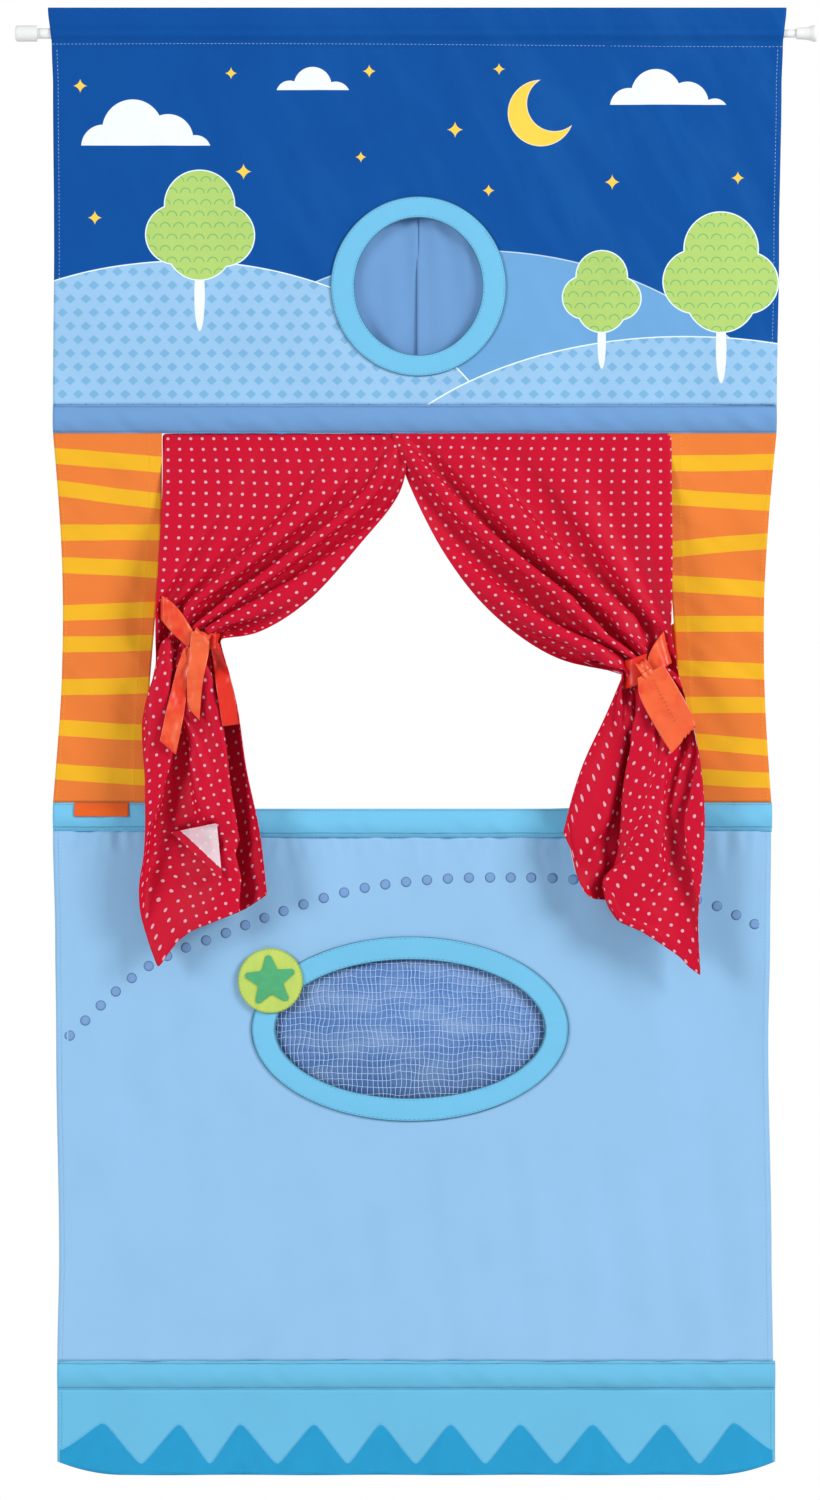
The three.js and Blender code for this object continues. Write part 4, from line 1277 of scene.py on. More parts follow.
def flatten(curtain, spot):
    """Keeps a hung point within the depth between the sill and the audience."""
    tie_z = -(curtain["outer_below"][0][1] + curtain["inner_below"][0][1]) / 2 * MM
    lowered = smoothstep(STAGE_TOP - spot.z, 0.0, STAGE_TOP - tie_z)
    middle = lerp(curtain["lift"], (CURTAIN_FRONT + CURTAIN_BACK) / 2, lowered)
    half = lerp(FOLD_HALF_DEPTH, (CURTAIN_BACK - CURTAIN_FRONT) / 2, lowered)
    half = lerp(SEAM_HALF_DEPTH, half, smoothstep(STAGE_TOP - spot.z, *SEAM_REACH))
    spot.y = middle + half * math.tanh((spot.y - TIE_MIDDLE * lowered) / half)


def onto_edges(curtain, corners, places):
    """Moves the hung cloth smoothly so that both its edges lie on their hanging lines."""
    moves = {}
    for corner, (u, v) in zip(corners, places):
        a = outward(curtain, u)
        if a < 1e-4 or a > 1 - 1e-4:
            edge = "outer" if a < 0.5 else "inner"
            target = edge_point(curtain, edge, v)
            move = Vector((target.x - corner.co.x, 0.0, target.z - corner.co.z))
            moves[edge, round(v * CURTAIN_ROWS)] = move
    for corner, (u, v) in zip(corners, places):
        row = round(v * CURTAIN_ROWS)
        corner.co += moves["outer", row].lerp(moves["inner", row], outward(curtain, u))


def onto_hem(curtain, corners, places):
    """Lets the foot of the hung cloth follow its hem."""
    across = [x * MM for x, _ in curtain["hem"]]
    heights = [-down * MM for _, down in curtain["hem"]]
    drops = {}
    for corner, (u, v) in zip(corners, places):
        if v > 1 - 0.5 / CURTAIN_ROWS:
            drops[round(u * 1000)] = between(across, heights, corner.co.x) - corner.co.z
    for corner, (u, v) in zip(corners, places):
        corner.co.z += drops[round(u * 1000)] * smoothstep(v, 0.6, 1.0)


def inside_edges(curtain, corners, places):
    """Keeps the folds of the hung cloth between its two edges."""
    lines = []
    for edge in ("outer", "inner"):
        line = [edge_point(curtain, edge, i / 150) for i in range(151)]
        lines.append(([-spot.z for spot in line], [spot.x for spot in line]))
    for corner, (u, _) in zip(corners, places):
        if 1e-4 < u < 1 - 1e-4:
            low, high = sorted(between(*line, -corner.co.z) for line in lines)
            corner.co.x = min(max(corner.co.x, low + 0.5 * MM), high - 0.5 * MM)


def raise_lip(corners):
    """Raises the fold over the turned-up corner, which ends in a lip."""
    (left, left_down), _, (right, right_down) = TURNED_CORNER
    for corner in corners:
        share = (corner.co.x / MM - left) / (right - left)
        if -0.1 < share < 1.1:
            lip = -lerp(left_down, right_down, share) * MM + 2.5 * MM * math.sin(math.pi * share)
            above = corner.co.z - lip
            along = smoothstep(above, -1 * MM, 4 * MM) * smoothstep(above, 90 * MM, 20 * MM)
            corner.co.y -= LIP_HEIGHT * along * smoothstep(share, -0.1, 0.3) * smoothstep(share, 1.1, 0.75)


def depths_round(cloth, x, z, reach, towards):
    """Depths at which rays round a place meet a cloth, from the audience (-1) or from behind (1)."""
    depths = []
    for dx in (-reach, 0.0, reach):
        for dz in (-reach, 0.0, reach):
            start = Vector((x + dx, towards * 0.3, z + dz))
            hit = cloth.ray_cast(start, Vector((0.0, -towards, 0.0)))[0]
            if hit is not None:
                depths.append(hit.y)
    return depths


def turn_up_corner(shape):
    """Adds the turned-up corner in front of the cloth, with its lining to the audience."""
    behind = BVHTree.FromBMesh(shape)
    start, end, tip = line_of(TURNED_CORNER)
    along = (end - start).normalized()
    layer = shape.loops.layers.uv["flat"]
    points = bmesh.ops.create_grid(shape, x_segments=12, y_segments=12, size=0.5)["verts"]
    for point in points:
        across, up = point.co.x + 0.5, point.co.y + 0.5
        spot = start.lerp(end, across).lerp(tip, up)
        front = min(depths_round(behind, spot.x, spot.z, CORNER_REACH, -1), default=TIE_MIDDLE)
        off = (0.8 + 5.0 * (1.0 - up) * (0.4 + 0.6 * across)) * MM
        point.co = (spot.x, max(front - off, CORNER_FRONT), spot.z)
    bmesh.ops.remove_doubles(shape, verts=points, dist=0.01 * MM)
    for part in {part for point in points if point.is_valid for part in point.link_faces}:
        part.normal_update()
        if part.normal.y < 0:
            part.normal_flip()
        for loop in part.loops:
            way = loop.vert.co - start
            way.y = 0.0
            run = way.dot(along)
            off = math.sqrt(max(0.0, way.length_squared - run * run))
            loop[layer].uv = (70 * MM + run, CURTAIN_DROP - 1.4 * off)


class THEATRE_OT_curtains(bpy.types.Operator):
    """Hang both curtains, draw each into its tie and let the cloth fall"""

    bl_idname = "theatre.curtains"
    bl_label = "Tied curtains"

    def execute(self, context):
        scene = context.scene
        flats = {name: hang_curtain(f"{name}_flat", curtain) for name, curtain in CURTAINS.items()}
        for flat, _ in flats.values():
            add_cloth(flat)
        for number in range(1, SETTLE_FRAMES + 1):
            scene.frame_set(number)
        for name, (flat, places) in flats.items():
            self.finish_curtain(name, flat, places)
        scene.frame_set(1)
        return {"FINISHED"}

    def finish_curtain(self, name, flat, places):
        curtain = CURTAINS[name]
        hung = bpy.data.meshes.new_from_object(flat.evaluated_get(bpy.context.evaluated_depsgraph_get()))
        shape = bmesh.new()
        shape.from_mesh(hung)
        shape.verts.ensure_lookup_table()
        for corner in shape.verts:
            flatten(curtain, corner.co)
        corners = list(shape.verts)
        onto_edges(curtain, corners, places)
        onto_hem(curtain, corners, places)
        inside_edges(curtain, corners, places)
        if name == "left":
            raise_lip(corners)
            turn_up_corner(shape)
        flat.animation_data_clear()
        bpy.data.objects.remove(flat)
        bpy.data.meshes.remove(hung)
        finishes = [spotted(f"{name}_red_spots"), lining(f"{name}_curtain_lining", curtain["width"])]
        piece = keep(shape, f"{name}_curtain_cloth", finishes, "stage", "red_cloth", [f"curtain_{name}"])
        thicken(piece, CURTAIN_CLOTH, even=False)
        smooth = piece.modifiers.new("smooth", "SUBSURF")
        smooth.levels = 1
        smooth.render_levels = 1


# The ribbons that tie the curtains

def satin(name, tone):
    """Satin ribbon: fine threads along it, and painted light: a paler shine in soft patches round a tone,
    which says how lit the ribbon is painted.
    """
    finish = Finish(name, 0.4, sheen=0.1, specular=0.5)
    across, along = finish.flat_place()
    threads = finish.noise(finish.vector(across * 60.0, along * 4.0, 0.0), 60.0, 2.0)
    ribs = (along * (math.pi / (0.5 * MM))).sine()
    patch = finish.noise(finish.spot(), 55.0, 2.0)
    # Painted light: the tone sets how much of the pale lit colour a ribbon takes; the rest keeps the deep red
    # painted as shade
    shine = (patch * 2.4 + (tone - 1.2)).clamped()
    colour = finish.mix(shine, colour_of("ribbon"), colour_of("ribbon_painted_light"))
    finish.set("Base Color", finish.shaded(colour, 0.95 + threads * 0.1 + ribs * 0.03))
    finish.bump(threads + ribs * 0.3, 0.25, 0.08 * MM)
    return finish.material


# The ribbons' two edges from the pillar or the knot outwards, in millimetres from the left pad and below
# the rod, how far their middle stands in front of the curtain on its way, and how pale they shine: the tone
# of their painted light, low where a ribbon is painted as in shade
RIBBONS = {
    "left_tie_band": {
        "edges": (((129, 536), (141, 537.5), (156, 549), (171, 571)),
                  ((130, 549), (141, 561), (153, 575), (167, 587))),
        "stand": (0.8, 1.4, 2.4), "tone": 0.3},
    "left_tie_tail_side": {
        "edges": (((162, 588), (155, 609), (146.8, 643), (139.9, 675.7)),
                  ((171, 586), (166.5, 612.6), (162.1, 652.7), (155, 688.6))),
        "stand": (1.2, 1.6, 4.6), "tone": 0.42},
    "left_tie_tail_back": {
        "edges": (((185.4, 578), (189.3, 598.3), (193.2, 626), (198.9, 662)),
                  ((195.5, 583), (201, 598.3), (207, 617.4), (215.7, 659.6))),
        "stand": (0.6, 1.6, 1.2), "tone": -0.4},
    "left_tie_tail_front": {
        "edges": (((169.5, 571), (167.1, 596), (165.4, 619.1), (165.4, 643.4)),
                  ((186.7, 578), (185.7, 593.5), (180.2, 621.2), (177, 656.2))),
        "stand": (6.8, 5.6, 4.0), "tone": 0.9},
    "right_tie_band": {
        "edges": (((633, 560), (617, 573), (605.5, 590), (599, 611)),
                  ((634, 597), (624.5, 602), (614, 611), (604, 621))),
        "stand": (1.0, 2.4, 3.6), "tone": 0.55},
    "right_tie_tail": {
        "edges": (((592.6, 616), (595, 634), (607, 658), (625, 687.4)),
                  ((617.5, 603.5), (627.2, 619.3), (641.8, 645.1), (648.2, 662.6))),
        "stand": (6.4, 5.2, 3.4), "tone": 1.0},
}
FRONT_LIMIT = -40 * MM


class THEATRE_OT_ties(bpy.types.Operator):
    """Tie the ribbons round the curtains"""

    bl_idname = "theatre.ties"
    bl_label = "Ribbons"

    def execute(self, context):
        context.view_layer.update()
        depsgraph = context.evaluated_depsgraph_get()
        self.cloths = {name: BVHTree.FromObject(bpy.data.objects[f"{name}_curtain_cloth"], depsgraph)
                       for name in CURTAINS}
        for number, (name, ribbon) in enumerate(RIBBONS.items()):
            self.ribbon(name, ribbon, number + 1.0)
        self.wrap("left", behind=(150, 168, 186, 196), down=581, width=15 * MM, end_x=187, rise=0.0)
        self.wrap("right", behind=(626, 606, 588, 578.5), down=614, width=27 * MM, end_x=602, rise=8 * MM)
        # Each knot's tone sets its painted light, as the ribbons' tones do
        self.knot("left", middle=(178.4, 577.5), room=(16 * MM, 13 * MM, 8 * MM), lean=0.42, tone=0.8)
        self.knot("right", middle=(601, 609), room=(11 * MM, 22 * MM, 9 * MM), lean=-0.55, tone=0.6)
        self.stitch_tail()
        return {"FINISHED"}

    def surface(self, name, x, z, towards, reach=7 * MM):
        """The curtain's nearest face round a place, seen from the audience (-1) or from behind (1)."""
        nearest = min if towards < 0 else max
        return nearest(depths_round(self.cloths[name], x, z, reach, towards), default=TIE_MIDDLE)

    def edge(self, ribbon, number, share):
        return along_curve(line_of(ribbon["edges"][number]), share)

    def centre_line(self, name, ribbon):
        """Depths of a ribbon's middle along its way; a band starts behind the edge of its pillar."""
        side = name.split("_")[0]
        depths = []
        for i in range(7):
            share = i / 6
            one_edge = self.edge(ribbon, 0, share)
            other_edge = self.edge(ribbon, 1, share)
            middle = (one_edge + other_edge) / 2
            near = self.surface(side, middle.x, middle.z, -1, (one_edge - other_edge).length * 0.45)
            stand = between((0.0, 0.5, 1.0), ribbon["stand"], share) * MM
            depths.append(Vector((0.0, max(near - stand, FRONT_LIMIT), 0.0)))
        if name.endswith("band"):
            depths[0].y = 5.0 * MM
            depths[1].y = 3.0 * MM
        return depths

    def ribbon(self, name, ribbon, seed):
        depths = self.centre_line(name, ribbon)
        steps = 48
        length = way_length(lambda share: self.edge(ribbon, 1, share), steps)
        width = max((self.edge(ribbon, 0, i / 4) - self.edge(ribbon, 1, i / 4)).length for i in range(5))

        def place(u, v):
            spot = self.edge(ribbon, 0, v).lerp(self.edge(ribbon, 1, v), u)
            side = 2 * u - 1
            cup = 1.1 * MM * side * side * math.sin(seed * 2.0)
            crease = 1.5 * MM * noise.noise(Vector((u * 1.7, v * length / (13 * MM), seed)))
            fine = 0.35 * MM * noise.noise(Vector((u * 5.0, v * length / (4 * MM), seed + 3.0)))
            spot.y = along_curve(depths, v).y + cup + crease + fine
            if name == "right_tie_tail" and v > 0.999 and u > 0.45:
                spot.z += 1.5 * MM * (1.0 + zigzag(u * 7))
            return spot

        shape, shares = cloth_grid(28 if name == "right_tie_tail" else 14, steps, place)
        map_flat(shape, shares, width, length)
        self.finish_ribbon(shape, name, (width, length), "hung", ribbon["tone"])

    def finish_ribbon(self, shape, name, flat, held, tone):
        side, _, piece_name = name.split("_", 2)
        node = f"tie_{side}_{piece_name}"
        piece = keep(shape, name, [satin(name + "_satin", tone)], "stage", "ribbon", [node])
        thicken(piece, sizes().ribbon, even=False)

    def wrap(self, side, behind, down, width, end_x, rise):
        """The turn of ribbon that passes behind a curtain and comes round to its knot."""
        z = -down * MM
        line = []
        for x in behind[:3]:
            back = min(self.surface(side, x * MM, z, 1) + 1.2 * MM, 3.0 * MM)
            line.append(Vector((x * MM, back, z)))
        line.append(Vector((behind[3] * MM, TIE_MIDDLE, z)))
        front = max(self.surface(side, (behind[2] + end_x) / 2 * MM, z, -1) - 1.4 * MM, FRONT_LIMIT)
        line.append(Vector((lerp(behind[3], end_x, 0.35) * MM, front + 1.0 * MM, z + rise * 0.35)))
        line.append(Vector((end_x * MM, front, z + rise)))
        steps = 60
        length = way_length(lambda share: along_curve(line, share), steps)

        def place(u, v):
            spot = along_curve(line, v)
            half = width / 2 * (1.0 - 0.3 * math.sin(math.pi * min(1.0, v / 0.7)) ** 2)
            crease = 1.0 * MM * noise.noise(Vector((u * 2.0, v * 6.0, down * 0.1)))
            return spot + Vector((0.0, crease, (1 - 2 * u) * half))

        shape, shares = cloth_grid(10, steps, place)
        map_flat(shape, shares, width, length)
        # The wrap is painted mostly as in shade, where it passes behind the curtain
        self.finish_ribbon(shape, f"{side}_tie_wrap", (width, length), "hung", -0.3)

    def knot(self, side, middle, room, lean, tone):
        """A short turn of ribbon pulled tight over the crossing."""
        width, height, depth = room
        middle = line_of([middle])[0]
        near = self.surface(side, middle.x, middle.z, -1, 5 * MM)
        middle.y = max(near - depth / 2, FRONT_LIMIT + depth / 2)

        def place(u, v):
            turn = 2 * math.pi * v
            across = 2 * u - 1
            pinch = 0.8 + 0.2 * across * across
            crease = noise.noise(Vector((u * 3.0, v * 8.0, middle.x * 90.0)))
            fold = 0.6 * MM * math.sin(across * 6.0 + math.sin(turn)) + 0.9 * MM * crease
            out = (depth / 2 * pinch + fold) * math.cos(turn)
            up = (height / 2 * pinch + fold) * math.sin(turn)
            return middle + Matrix.Rotation(lean, 3, "Y") @ Vector((across * width / 2, -out, up))

        shape, shares = cloth_grid(12, 40, place)
        length = math.pi * (height + depth) / 2
        map_flat(shape, shares, width, length)
        bmesh.ops.remove_doubles(shape, verts=shape.verts, dist=0.02 * MM)
        bmesh.ops.recalc_face_normals(shape, faces=shape.faces)
        self.finish_ribbon(shape, f"{side}_tie_knot", (width, length), "folded", tone)

    def stitch_tail(self):
        """The row of dark stitches down the middle of the wide tail."""
        ribbon = RIBBONS["right_tie_tail"]
        depths = self.centre_line("right_tie_tail", ribbon)

        def row(share):
            v = lerp(0.16, 0.76, share)
            spot = self.edge(ribbon, 0, v).lerp(self.edge(ribbon, 1, v), 0.52)
            spot.y = along_curve(depths, v).y - 1.2 * MM
            return spot

        sew("right_tail_stitches", [row], darker(colour_of("ribbon"), 0.35), "stage", "ribbon")


# The bare label, the lower front and its oval window

class THEATRE_OT_label(bpy.types.Operator):
    """Sew on the bare woven label"""

    bl_idname = "theatre.label"
    bl_label = "Bare label"

    def execute(self, context):
        low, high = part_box("blank_label")
        band_low, band_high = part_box("sill_band")

        def place(u, v):
            z = lerp(high.z, low.z, v)
            stand = band_stand(band_low, band_high, min(z, band_high.z)) + 0.9 * MM
            curl = (0.5 * MM * math.sin(math.pi * u) * v
                    + 0.4 * MM * noise.noise(Vector((u * 4, v * 2, 0.4))))
            return Vector((lerp(low.x, high.x, u), -stand - curl, z))

        shape, shares = cloth_grid(36, 12, place)
        map_flat(shape, shares, high.x - low.x, high.z - low.z)
        finish = Finish("woven_label", 0.6, sheen=0.15)
        across, down = finish.flat_place()
        weave_onto(finish, across, down, colour_of("label"), 0.8 * MM, uneven=0.08)
        piece = keep(shape, "bare_label", [finish.material], "lower", "label_cloth", ["blank_label"])
        thicken(piece, 0.6 * MM)
        return {"FINISHED"}


# The dotted line over the oval window, in millimetres from the left pad and below the rod
DOTTED_LINE = ((52, 957), (93.5, 917.1), (124.8, 892.2), (158.1, 875), (192.5, 862.3), (228.8, 848),
               (265.1, 835.1), (303.3, 823.1), (342, 814.4), (381.3, 809.5), (425, 806.5), (470, 806),
               (520, 807), (575, 813), (625, 822), (664, 831), (707, 851))


def dotted_line_points():
    """Places of the dots, evenly spaced along their line."""
    line = line_of(DOTTED_LINE)
    fine = [along_curve(line, i / 600) for i in range(601)]
    places = [fine[0]]
    run = 0.0
    for a, b in zip(fine, fine[1:]):
        run += (b - a).length
        if run >= sizes().dot_pitch:
            run = 0.0
            places.append(b)
    return places


class THEATRE_OT_lower_front(bpy.types.Operator):
    """Hang the lower front cloth with its dotted line, hems and stitches"""

    bl_idname = "theatre.lower_front"
    bl_label = "Lower front"

    def execute(self, context):
        height = LOWER_TOP - LOWER_FOOT

        def place(u, v):
            z = lerp(LOWER_TOP, LOWER_FOOT, v)
            left, right = lower_edges(z)
            x = lerp(left, right, u)
            sag = sill_sag(x) * smoothstep(z, LOWER_TOP - SAG_REACH, LOWER_TOP)
            return Vector((x, lower_relief(x, z), z - sag))

        shape, _ = cloth_grid(cells(FRONT_WIDTH), cells(height), place)
        cut_hole(shape, OVAL, OVAL_OPEN)
        finishes = [cotton("pale_cotton", colour_of("pale"), uneven=0.12),
                    reverse_of("pale_reverse", colour_of("pale"), 0.1)]
        piece = keep(shape, "lower_front_cloth", finishes, "lower", "pale_blue_cloth", ["lower_panel"])
        thicken(piece, sizes().cloth)
        self.dots()
        sides = [hem_row(lower_edges, lower_relief, LOWER_TOP, LOWER_FOOT, edge) for edge in (0, 1)]
        sew("lower_front_stitches", sides, darker(colour_of("pale"), 0.72), "lower", "pale_blue_cloth")
        return {"FINISHED"}

    def dots(self):
        """Printed dots: thin discs that lie on the cloth and follow it."""
        shape = bmesh.new()
        radius = sizes().print_dot / 2
        face = sizes().cloth / 2 + 0.03 * MM
        middles = dotted_line_points()
        for spot in middles:
            bmesh.ops.create_circle(shape, cap_ends=True, cap_tris=True, segments=24, radius=radius,
                                    matrix=Matrix.Translation(spot) @ FACING_FRONT)
        bmesh.ops.subdivide_edges(shape, edges=shape.edges, cuts=1, use_grid_fill=True)
        layer = shape.loops.layers.uv.new("flat")
        for part in shape.faces:
            middle = min(middles, key=lambda spot: (spot - part.calc_center_median()).length)
            for loop in part.loops:
                loop[layer].uv = (loop.vert.co.x - middle.x, loop.vert.co.z - middle.z)
        for corner in shape.verts:
            corner.co.y = lower_relief(corner.co.x, corner.co.z) - face
        finish = Finish("printed_dots", 0.85, sheen=0.15)
        across, up = finish.flat_place()
        reach = (across * across + up * up) ** 0.5
        brush = finish.noise(finish.vector(across, up, 0.0), 900.0, 3.0)
        ring = (abs(reach - radius * 0.88) - 0.45 * MM).inside()
        ink = colour_of("print_blue")
        inner = finish.mix(brush, darker(ink, 1.16), darker(ink, 0.94))
        finish.set("Base Color", finish.mix(ring, inner, darker(ink, 0.66)))
        piece = keep(shape, "dotted_line", [finish.material], "lower", "pale_blue_cloth")
        thicken(piece, 0.05 * MM)


class THEATRE_OT_oval_window(bpy.types.Operator):
    """Sew on the oval ring and hang the net and its backing behind it"""

    bl_idname = "theatre.oval_window"
    bl_label = "Oval window"

    def execute(self, context):
        sew_ring("oval", "lower", OVAL, OVAL_RING, OVAL_OPEN, shade=0.5, turns=220)
        self.net()
        self.backing()
        return {"FINISHED"}

    def net(self):
        """Strands of a coarse net: each is a thin flat tube that wavers."""
        low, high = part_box("oval_net")
        middle_y = (low.y + high.y) / 2
        half = sizes().net_strand / 2
        reach = [part + NET_MARGIN for part in OVAL_OPEN]
        shape = bmesh.new()

        def waver(x, z):
            slow = noise.noise(Vector((x * 42.0, 3.0, z * 42.0)))
            quick = noise.noise(Vector((x * 160.0, 9.0, z * 160.0)))
            return (3.4 * slow + 0.9 * quick) * MM

        def strand(start, end, upright):
            steps = max(6, round((end - start).length / NET_STEP))
            loop = bmesh.ops.create_circle(shape, segments=5, radius=half)["verts"]
            for step in range(steps + 1):
                spot = start.lerp(end, step / steps)
                if upright:
                    spot.x += waver(spot.x, spot.z)
                else:
                    spot.z += waver(spot.z + 0.4, spot.x)
                if step:
                    edges = list({edge for vert in loop for edge in vert.link_edges
                                  if edge.other_vert(vert) in loop})
                    made = bmesh.ops.extrude_edge_only(shape, edges=edges)["geom"]
                    loop = [part for part in made if isinstance(part, bmesh.types.BMVert)]
                ordered = loop if step == 0 else [self.match(vert, previous) for vert in previous]
                for i, vert in enumerate(ordered):
                    angle = 2 * math.pi * i / 5
                    wide = half * math.cos(angle)
                    deep = half * 0.7 * math.sin(angle)
                    vert.co = spot + (Vector((wide, deep, 0)) if upright else Vector((0, deep, wide)))
                previous = ordered

        def on_net(x, z):
            return Vector((OVAL.x + x, middle_y, OVAL.z + z))

        columns = round(2 * reach[0] / sizes().net_across)
        rows = round(2 * reach[1] / sizes().net_down)
        for i in range(1, columns):
            x = lerp(-reach[0], reach[0], i / columns)
            tall = reach[1] * math.sqrt(max(0.0, 1 - (x / reach[0]) ** 2))
            strand(on_net(x, -tall), on_net(x, tall), True)
        for i in range(1, rows):
            z = lerp(-reach[1], reach[1], i / rows)
            wide = reach[0] * math.sqrt(max(0.0, 1 - (z / reach[1]) ** 2))
            strand(on_net(-wide, z), on_net(wide, z), False)
        bmesh.ops.holes_fill(shape, edges=shape.edges)
        bmesh.ops.recalc_face_normals(shape, faces=shape.faces)
        finish = Finish("net_strands", 0.6, sheen=0.2)
        fibre = finish.noise(finish.spot(), 900.0)
        finish.set("Base Color", finish.shaded(colour_of("strand"), 0.85 + fibre * 0.3))
        keep(shape, "net_strands", [finish.material], "lower", "net", ["oval_net"])

    def match(self, vert, previous):
        """The new corner that an edge joins to a corner of the strand's last section."""
        for edge in vert.link_edges:
            other = edge.other_vert(vert)
            if other not in previous and other.co == vert.co:
                return other
        raise RuntimeError("a strand's sections don't join")

    def backing(self):
        low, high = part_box("oval_backing")
        middle = (low.y + high.y) / 2
        across, up = OVAL_RING
        shape = bmesh.new()
        bmesh.ops.create_circle(shape, cap_ends=True, segments=96, radius=1.0, matrix=FACING_FRONT)
        for corner in shape.verts:
            corner.co = Vector((OVAL.x + corner.co.x * (across - 1 * MM), middle,
                                OVAL.z + corner.co.z * (up - 1 * MM)))

        def paint(finish, x, z):
            streak = finish.noise(finish.vector(x * 0.35, 0.0, z), 46.0, 4.0, 0.65)
            haze = finish.node("ShaderNodeMapRange", {"clamp": True}, {
                0: streak, 1: 0.42, 2: 0.72, 3: 0.0, 4: 0.75})
            return finish.mix(haze, colour_of("backing"), darker(colour_of("strand"), 0.86))

        piece = keep(shape, "oval_backing_cloth", [cotton("backing_cotton", paint)], "lower", "backing_cloth",
                     ["oval_backing"])
        thicken(piece, sizes().cloth)


# The height of the star over its radius
STAR_HEIGHT = 1.88


def star_points(middle, radius):
    """Corners of a blunt five-pointed star, tips and waists in turn."""
    corners = []
    tilt = math.radians(95)
    for i in range(5):
        tip = tilt + i * 2 * math.pi / 5
        for angle, share in ((tip - 0.11, 0.95), (tip, 1.0), (tip + 0.11, 0.95), (tip + math.pi / 5, 0.51)):
            corners.append(middle + Vector((math.cos(angle), 0, math.sin(angle))) * radius * share)
    return corners


class THEATRE_OT_badge(bpy.types.Operator):
    """Sew on the round badge with its star"""

    bl_idname = "theatre.badge"
    bl_label = "Star badge"

    def execute(self, context):
        low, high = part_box("star_disc")
        middle = middle_of("star_disc")
        radius = (high.x - low.x) / 2
        shape = bmesh.new()
        bmesh.ops.create_circle(shape, cap_ends=True, segments=96, radius=radius,
                                matrix=Matrix.Translation((middle.x, high.y, middle.z)) @ FACING_FRONT)
        self.pad(shape, high.y, high.y - low.y, 0.5 * MM)

        def limed(finish, x, z):
            brush = finish.noise(finish.vector(x, 0.0, z * 0.3), 150.0, 3.0)
            ground = finish.mix(brush, darker(colour_of("lime"), 0.9), colour_of("lime_light"))
            away = oval_distance(x, z, middle.x, middle.z, radius, radius)
            return finish.mix((abs(away + 0.5 * MM) - 0.3 * MM).inside(0.4 * MM) * 0.7, ground,
                              darker(colour_of("lime"), 0.3))

        keep(shape, "badge_disc", [cotton("badge_lime", limed)], "lower", "lime_cloth", ["star_disc"])
        sew("badge_stitches", [round_row(middle, (radius, radius), -1.6 * MM, low.y + 0.1 * MM)],
            darker(colour_of("lime"), 0.5), "lower", "lime_cloth")
        star_low, star_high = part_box("star")
        shape = bmesh.new()
        centre = Vector((middle.x, star_high.y, middle.z))
        star_radius = (star_high.z - star_low.z) / STAR_HEIGHT
        shape.faces.new([shape.verts.new(spot) for spot in star_points(centre, star_radius)])
        self.pad(shape, star_high.y, (star_high.y - star_low.y) * 0.7, 0.7 * MM)

        def greened(finish, x, z):
            brush = finish.noise(finish.vector(x * 0.6, 0.0, z), 190.0, 4.0)
            return finish.mix(brush, darker(colour_of("star"), 0.84), darker(colour_of("star"), 1.12))

        keep(shape, "badge_star", [cotton("star_green", greened)], "lower", "green_cloth", ["star"])
        return {"FINISHED"}

    def pad(self, shape, back, thickness, rounding):
        """Raises a flat outline into a thin padded form with a rounded front edge."""
        bmesh.ops.recalc_face_normals(shape, faces=shape.faces)
        grown = bmesh.ops.extrude_face_region(shape, geom=list(shape.faces))
        front = [part for part in grown["geom"] if isinstance(part, bmesh.types.BMVert)]
        bmesh.ops.translate(shape, verts=front, vec=(0.0, -thickness, 0.0))
        bmesh.ops.recalc_face_normals(shape, faces=shape.faces)
        rim = [edge for edge in shape.edges
               if all(vert.co.y < back - thickness * 0.9 for vert in edge.verts)]
        bmesh.ops.bevel(shape, geom=rim, offset=rounding, offset_type="OFFSET", segments=3, profile=0.5,
                        affect="EDGES", clamp_overlap=True, material=-1)


# The flounce and its zigzag

FLOUNCE_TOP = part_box("flounce")[1].z
FLOUNCE_DROP = FLOUNCE_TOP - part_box("flounce")[0].z
FLOUNCE_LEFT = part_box("flounce")[0].x
FLOUNCE_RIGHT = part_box("flounce")[1].x
FLOUNCE_RISE = 13 * MM
FLOUNCE_CORNER_SHARE = 0.09
FLOUNCE_WAVE = 2.4 * MM
FLOUNCE_WAVES = 5
# Shares across the flounce: the zigzag's tips, the valleys half-way between them, both in turn, and its ends
ZIGZAG_TIPS = (0.064, 0.170, 0.255, 0.358, 0.451, 0.548, 0.645, 0.746, 0.847, 0.942)
ZIGZAG_VALLEYS = tuple((a + b) / 2 for a, b in zip(ZIGZAG_TIPS, ZIGZAG_TIPS[1:]))
ZIGZAG_PLACES = sorted((0.0, *ZIGZAG_TIPS, *ZIGZAG_VALLEYS, 1.0))
ZIGZAG_ENDS = (0.004, 0.996)
ZIGZAG_TOP = 52 * MM
ZIGZAG_FOOT = 9 * MM


def flounce_drop(u):
    from_end = min(u, 1 - u) / FLOUNCE_CORNER_SHARE
    return FLOUNCE_DROP - FLOUNCE_RISE * max(0.0, 1 - from_end) ** 2


def flounce_point(u, down):
    """The flounce's middle surface: gentle waves that grow downwards."""
    x = lerp(FLOUNCE_LEFT, FLOUNCE_RIGHT, u)
    z = FLOUNCE_TOP - down * flounce_drop(u)
    wave = FLOUNCE_WAVE * down * math.sin(2 * math.pi * FLOUNCE_WAVES * u) * 0.7
    creases = crumple(x, z, 19 * MM, 0.5 * MM, 6.6, 0.7, 3.0) * math.sin(math.pi * min(1.0, down + 0.1))
    hem = hem_step(min(u, 1 - u) * FRONT_WIDTH, 6 * MM, 0.3 * MM)
    return Vector((x, wave + creases + hem, z))


def zigzag_height(u):
    """Height of the zigzag above the foot: straight sides, blunt tips and valleys."""
    share = between(ZIGZAG_PLACES, [i % 2 for i in range(len(ZIGZAG_PLACES))], u)
    blunt = 0.07
    share = share - blunt * math.exp(-(1 - share) / blunt) + blunt * math.exp(-share / blunt)
    return ZIGZAG_FOOT + (ZIGZAG_TOP - ZIGZAG_FOOT) * share


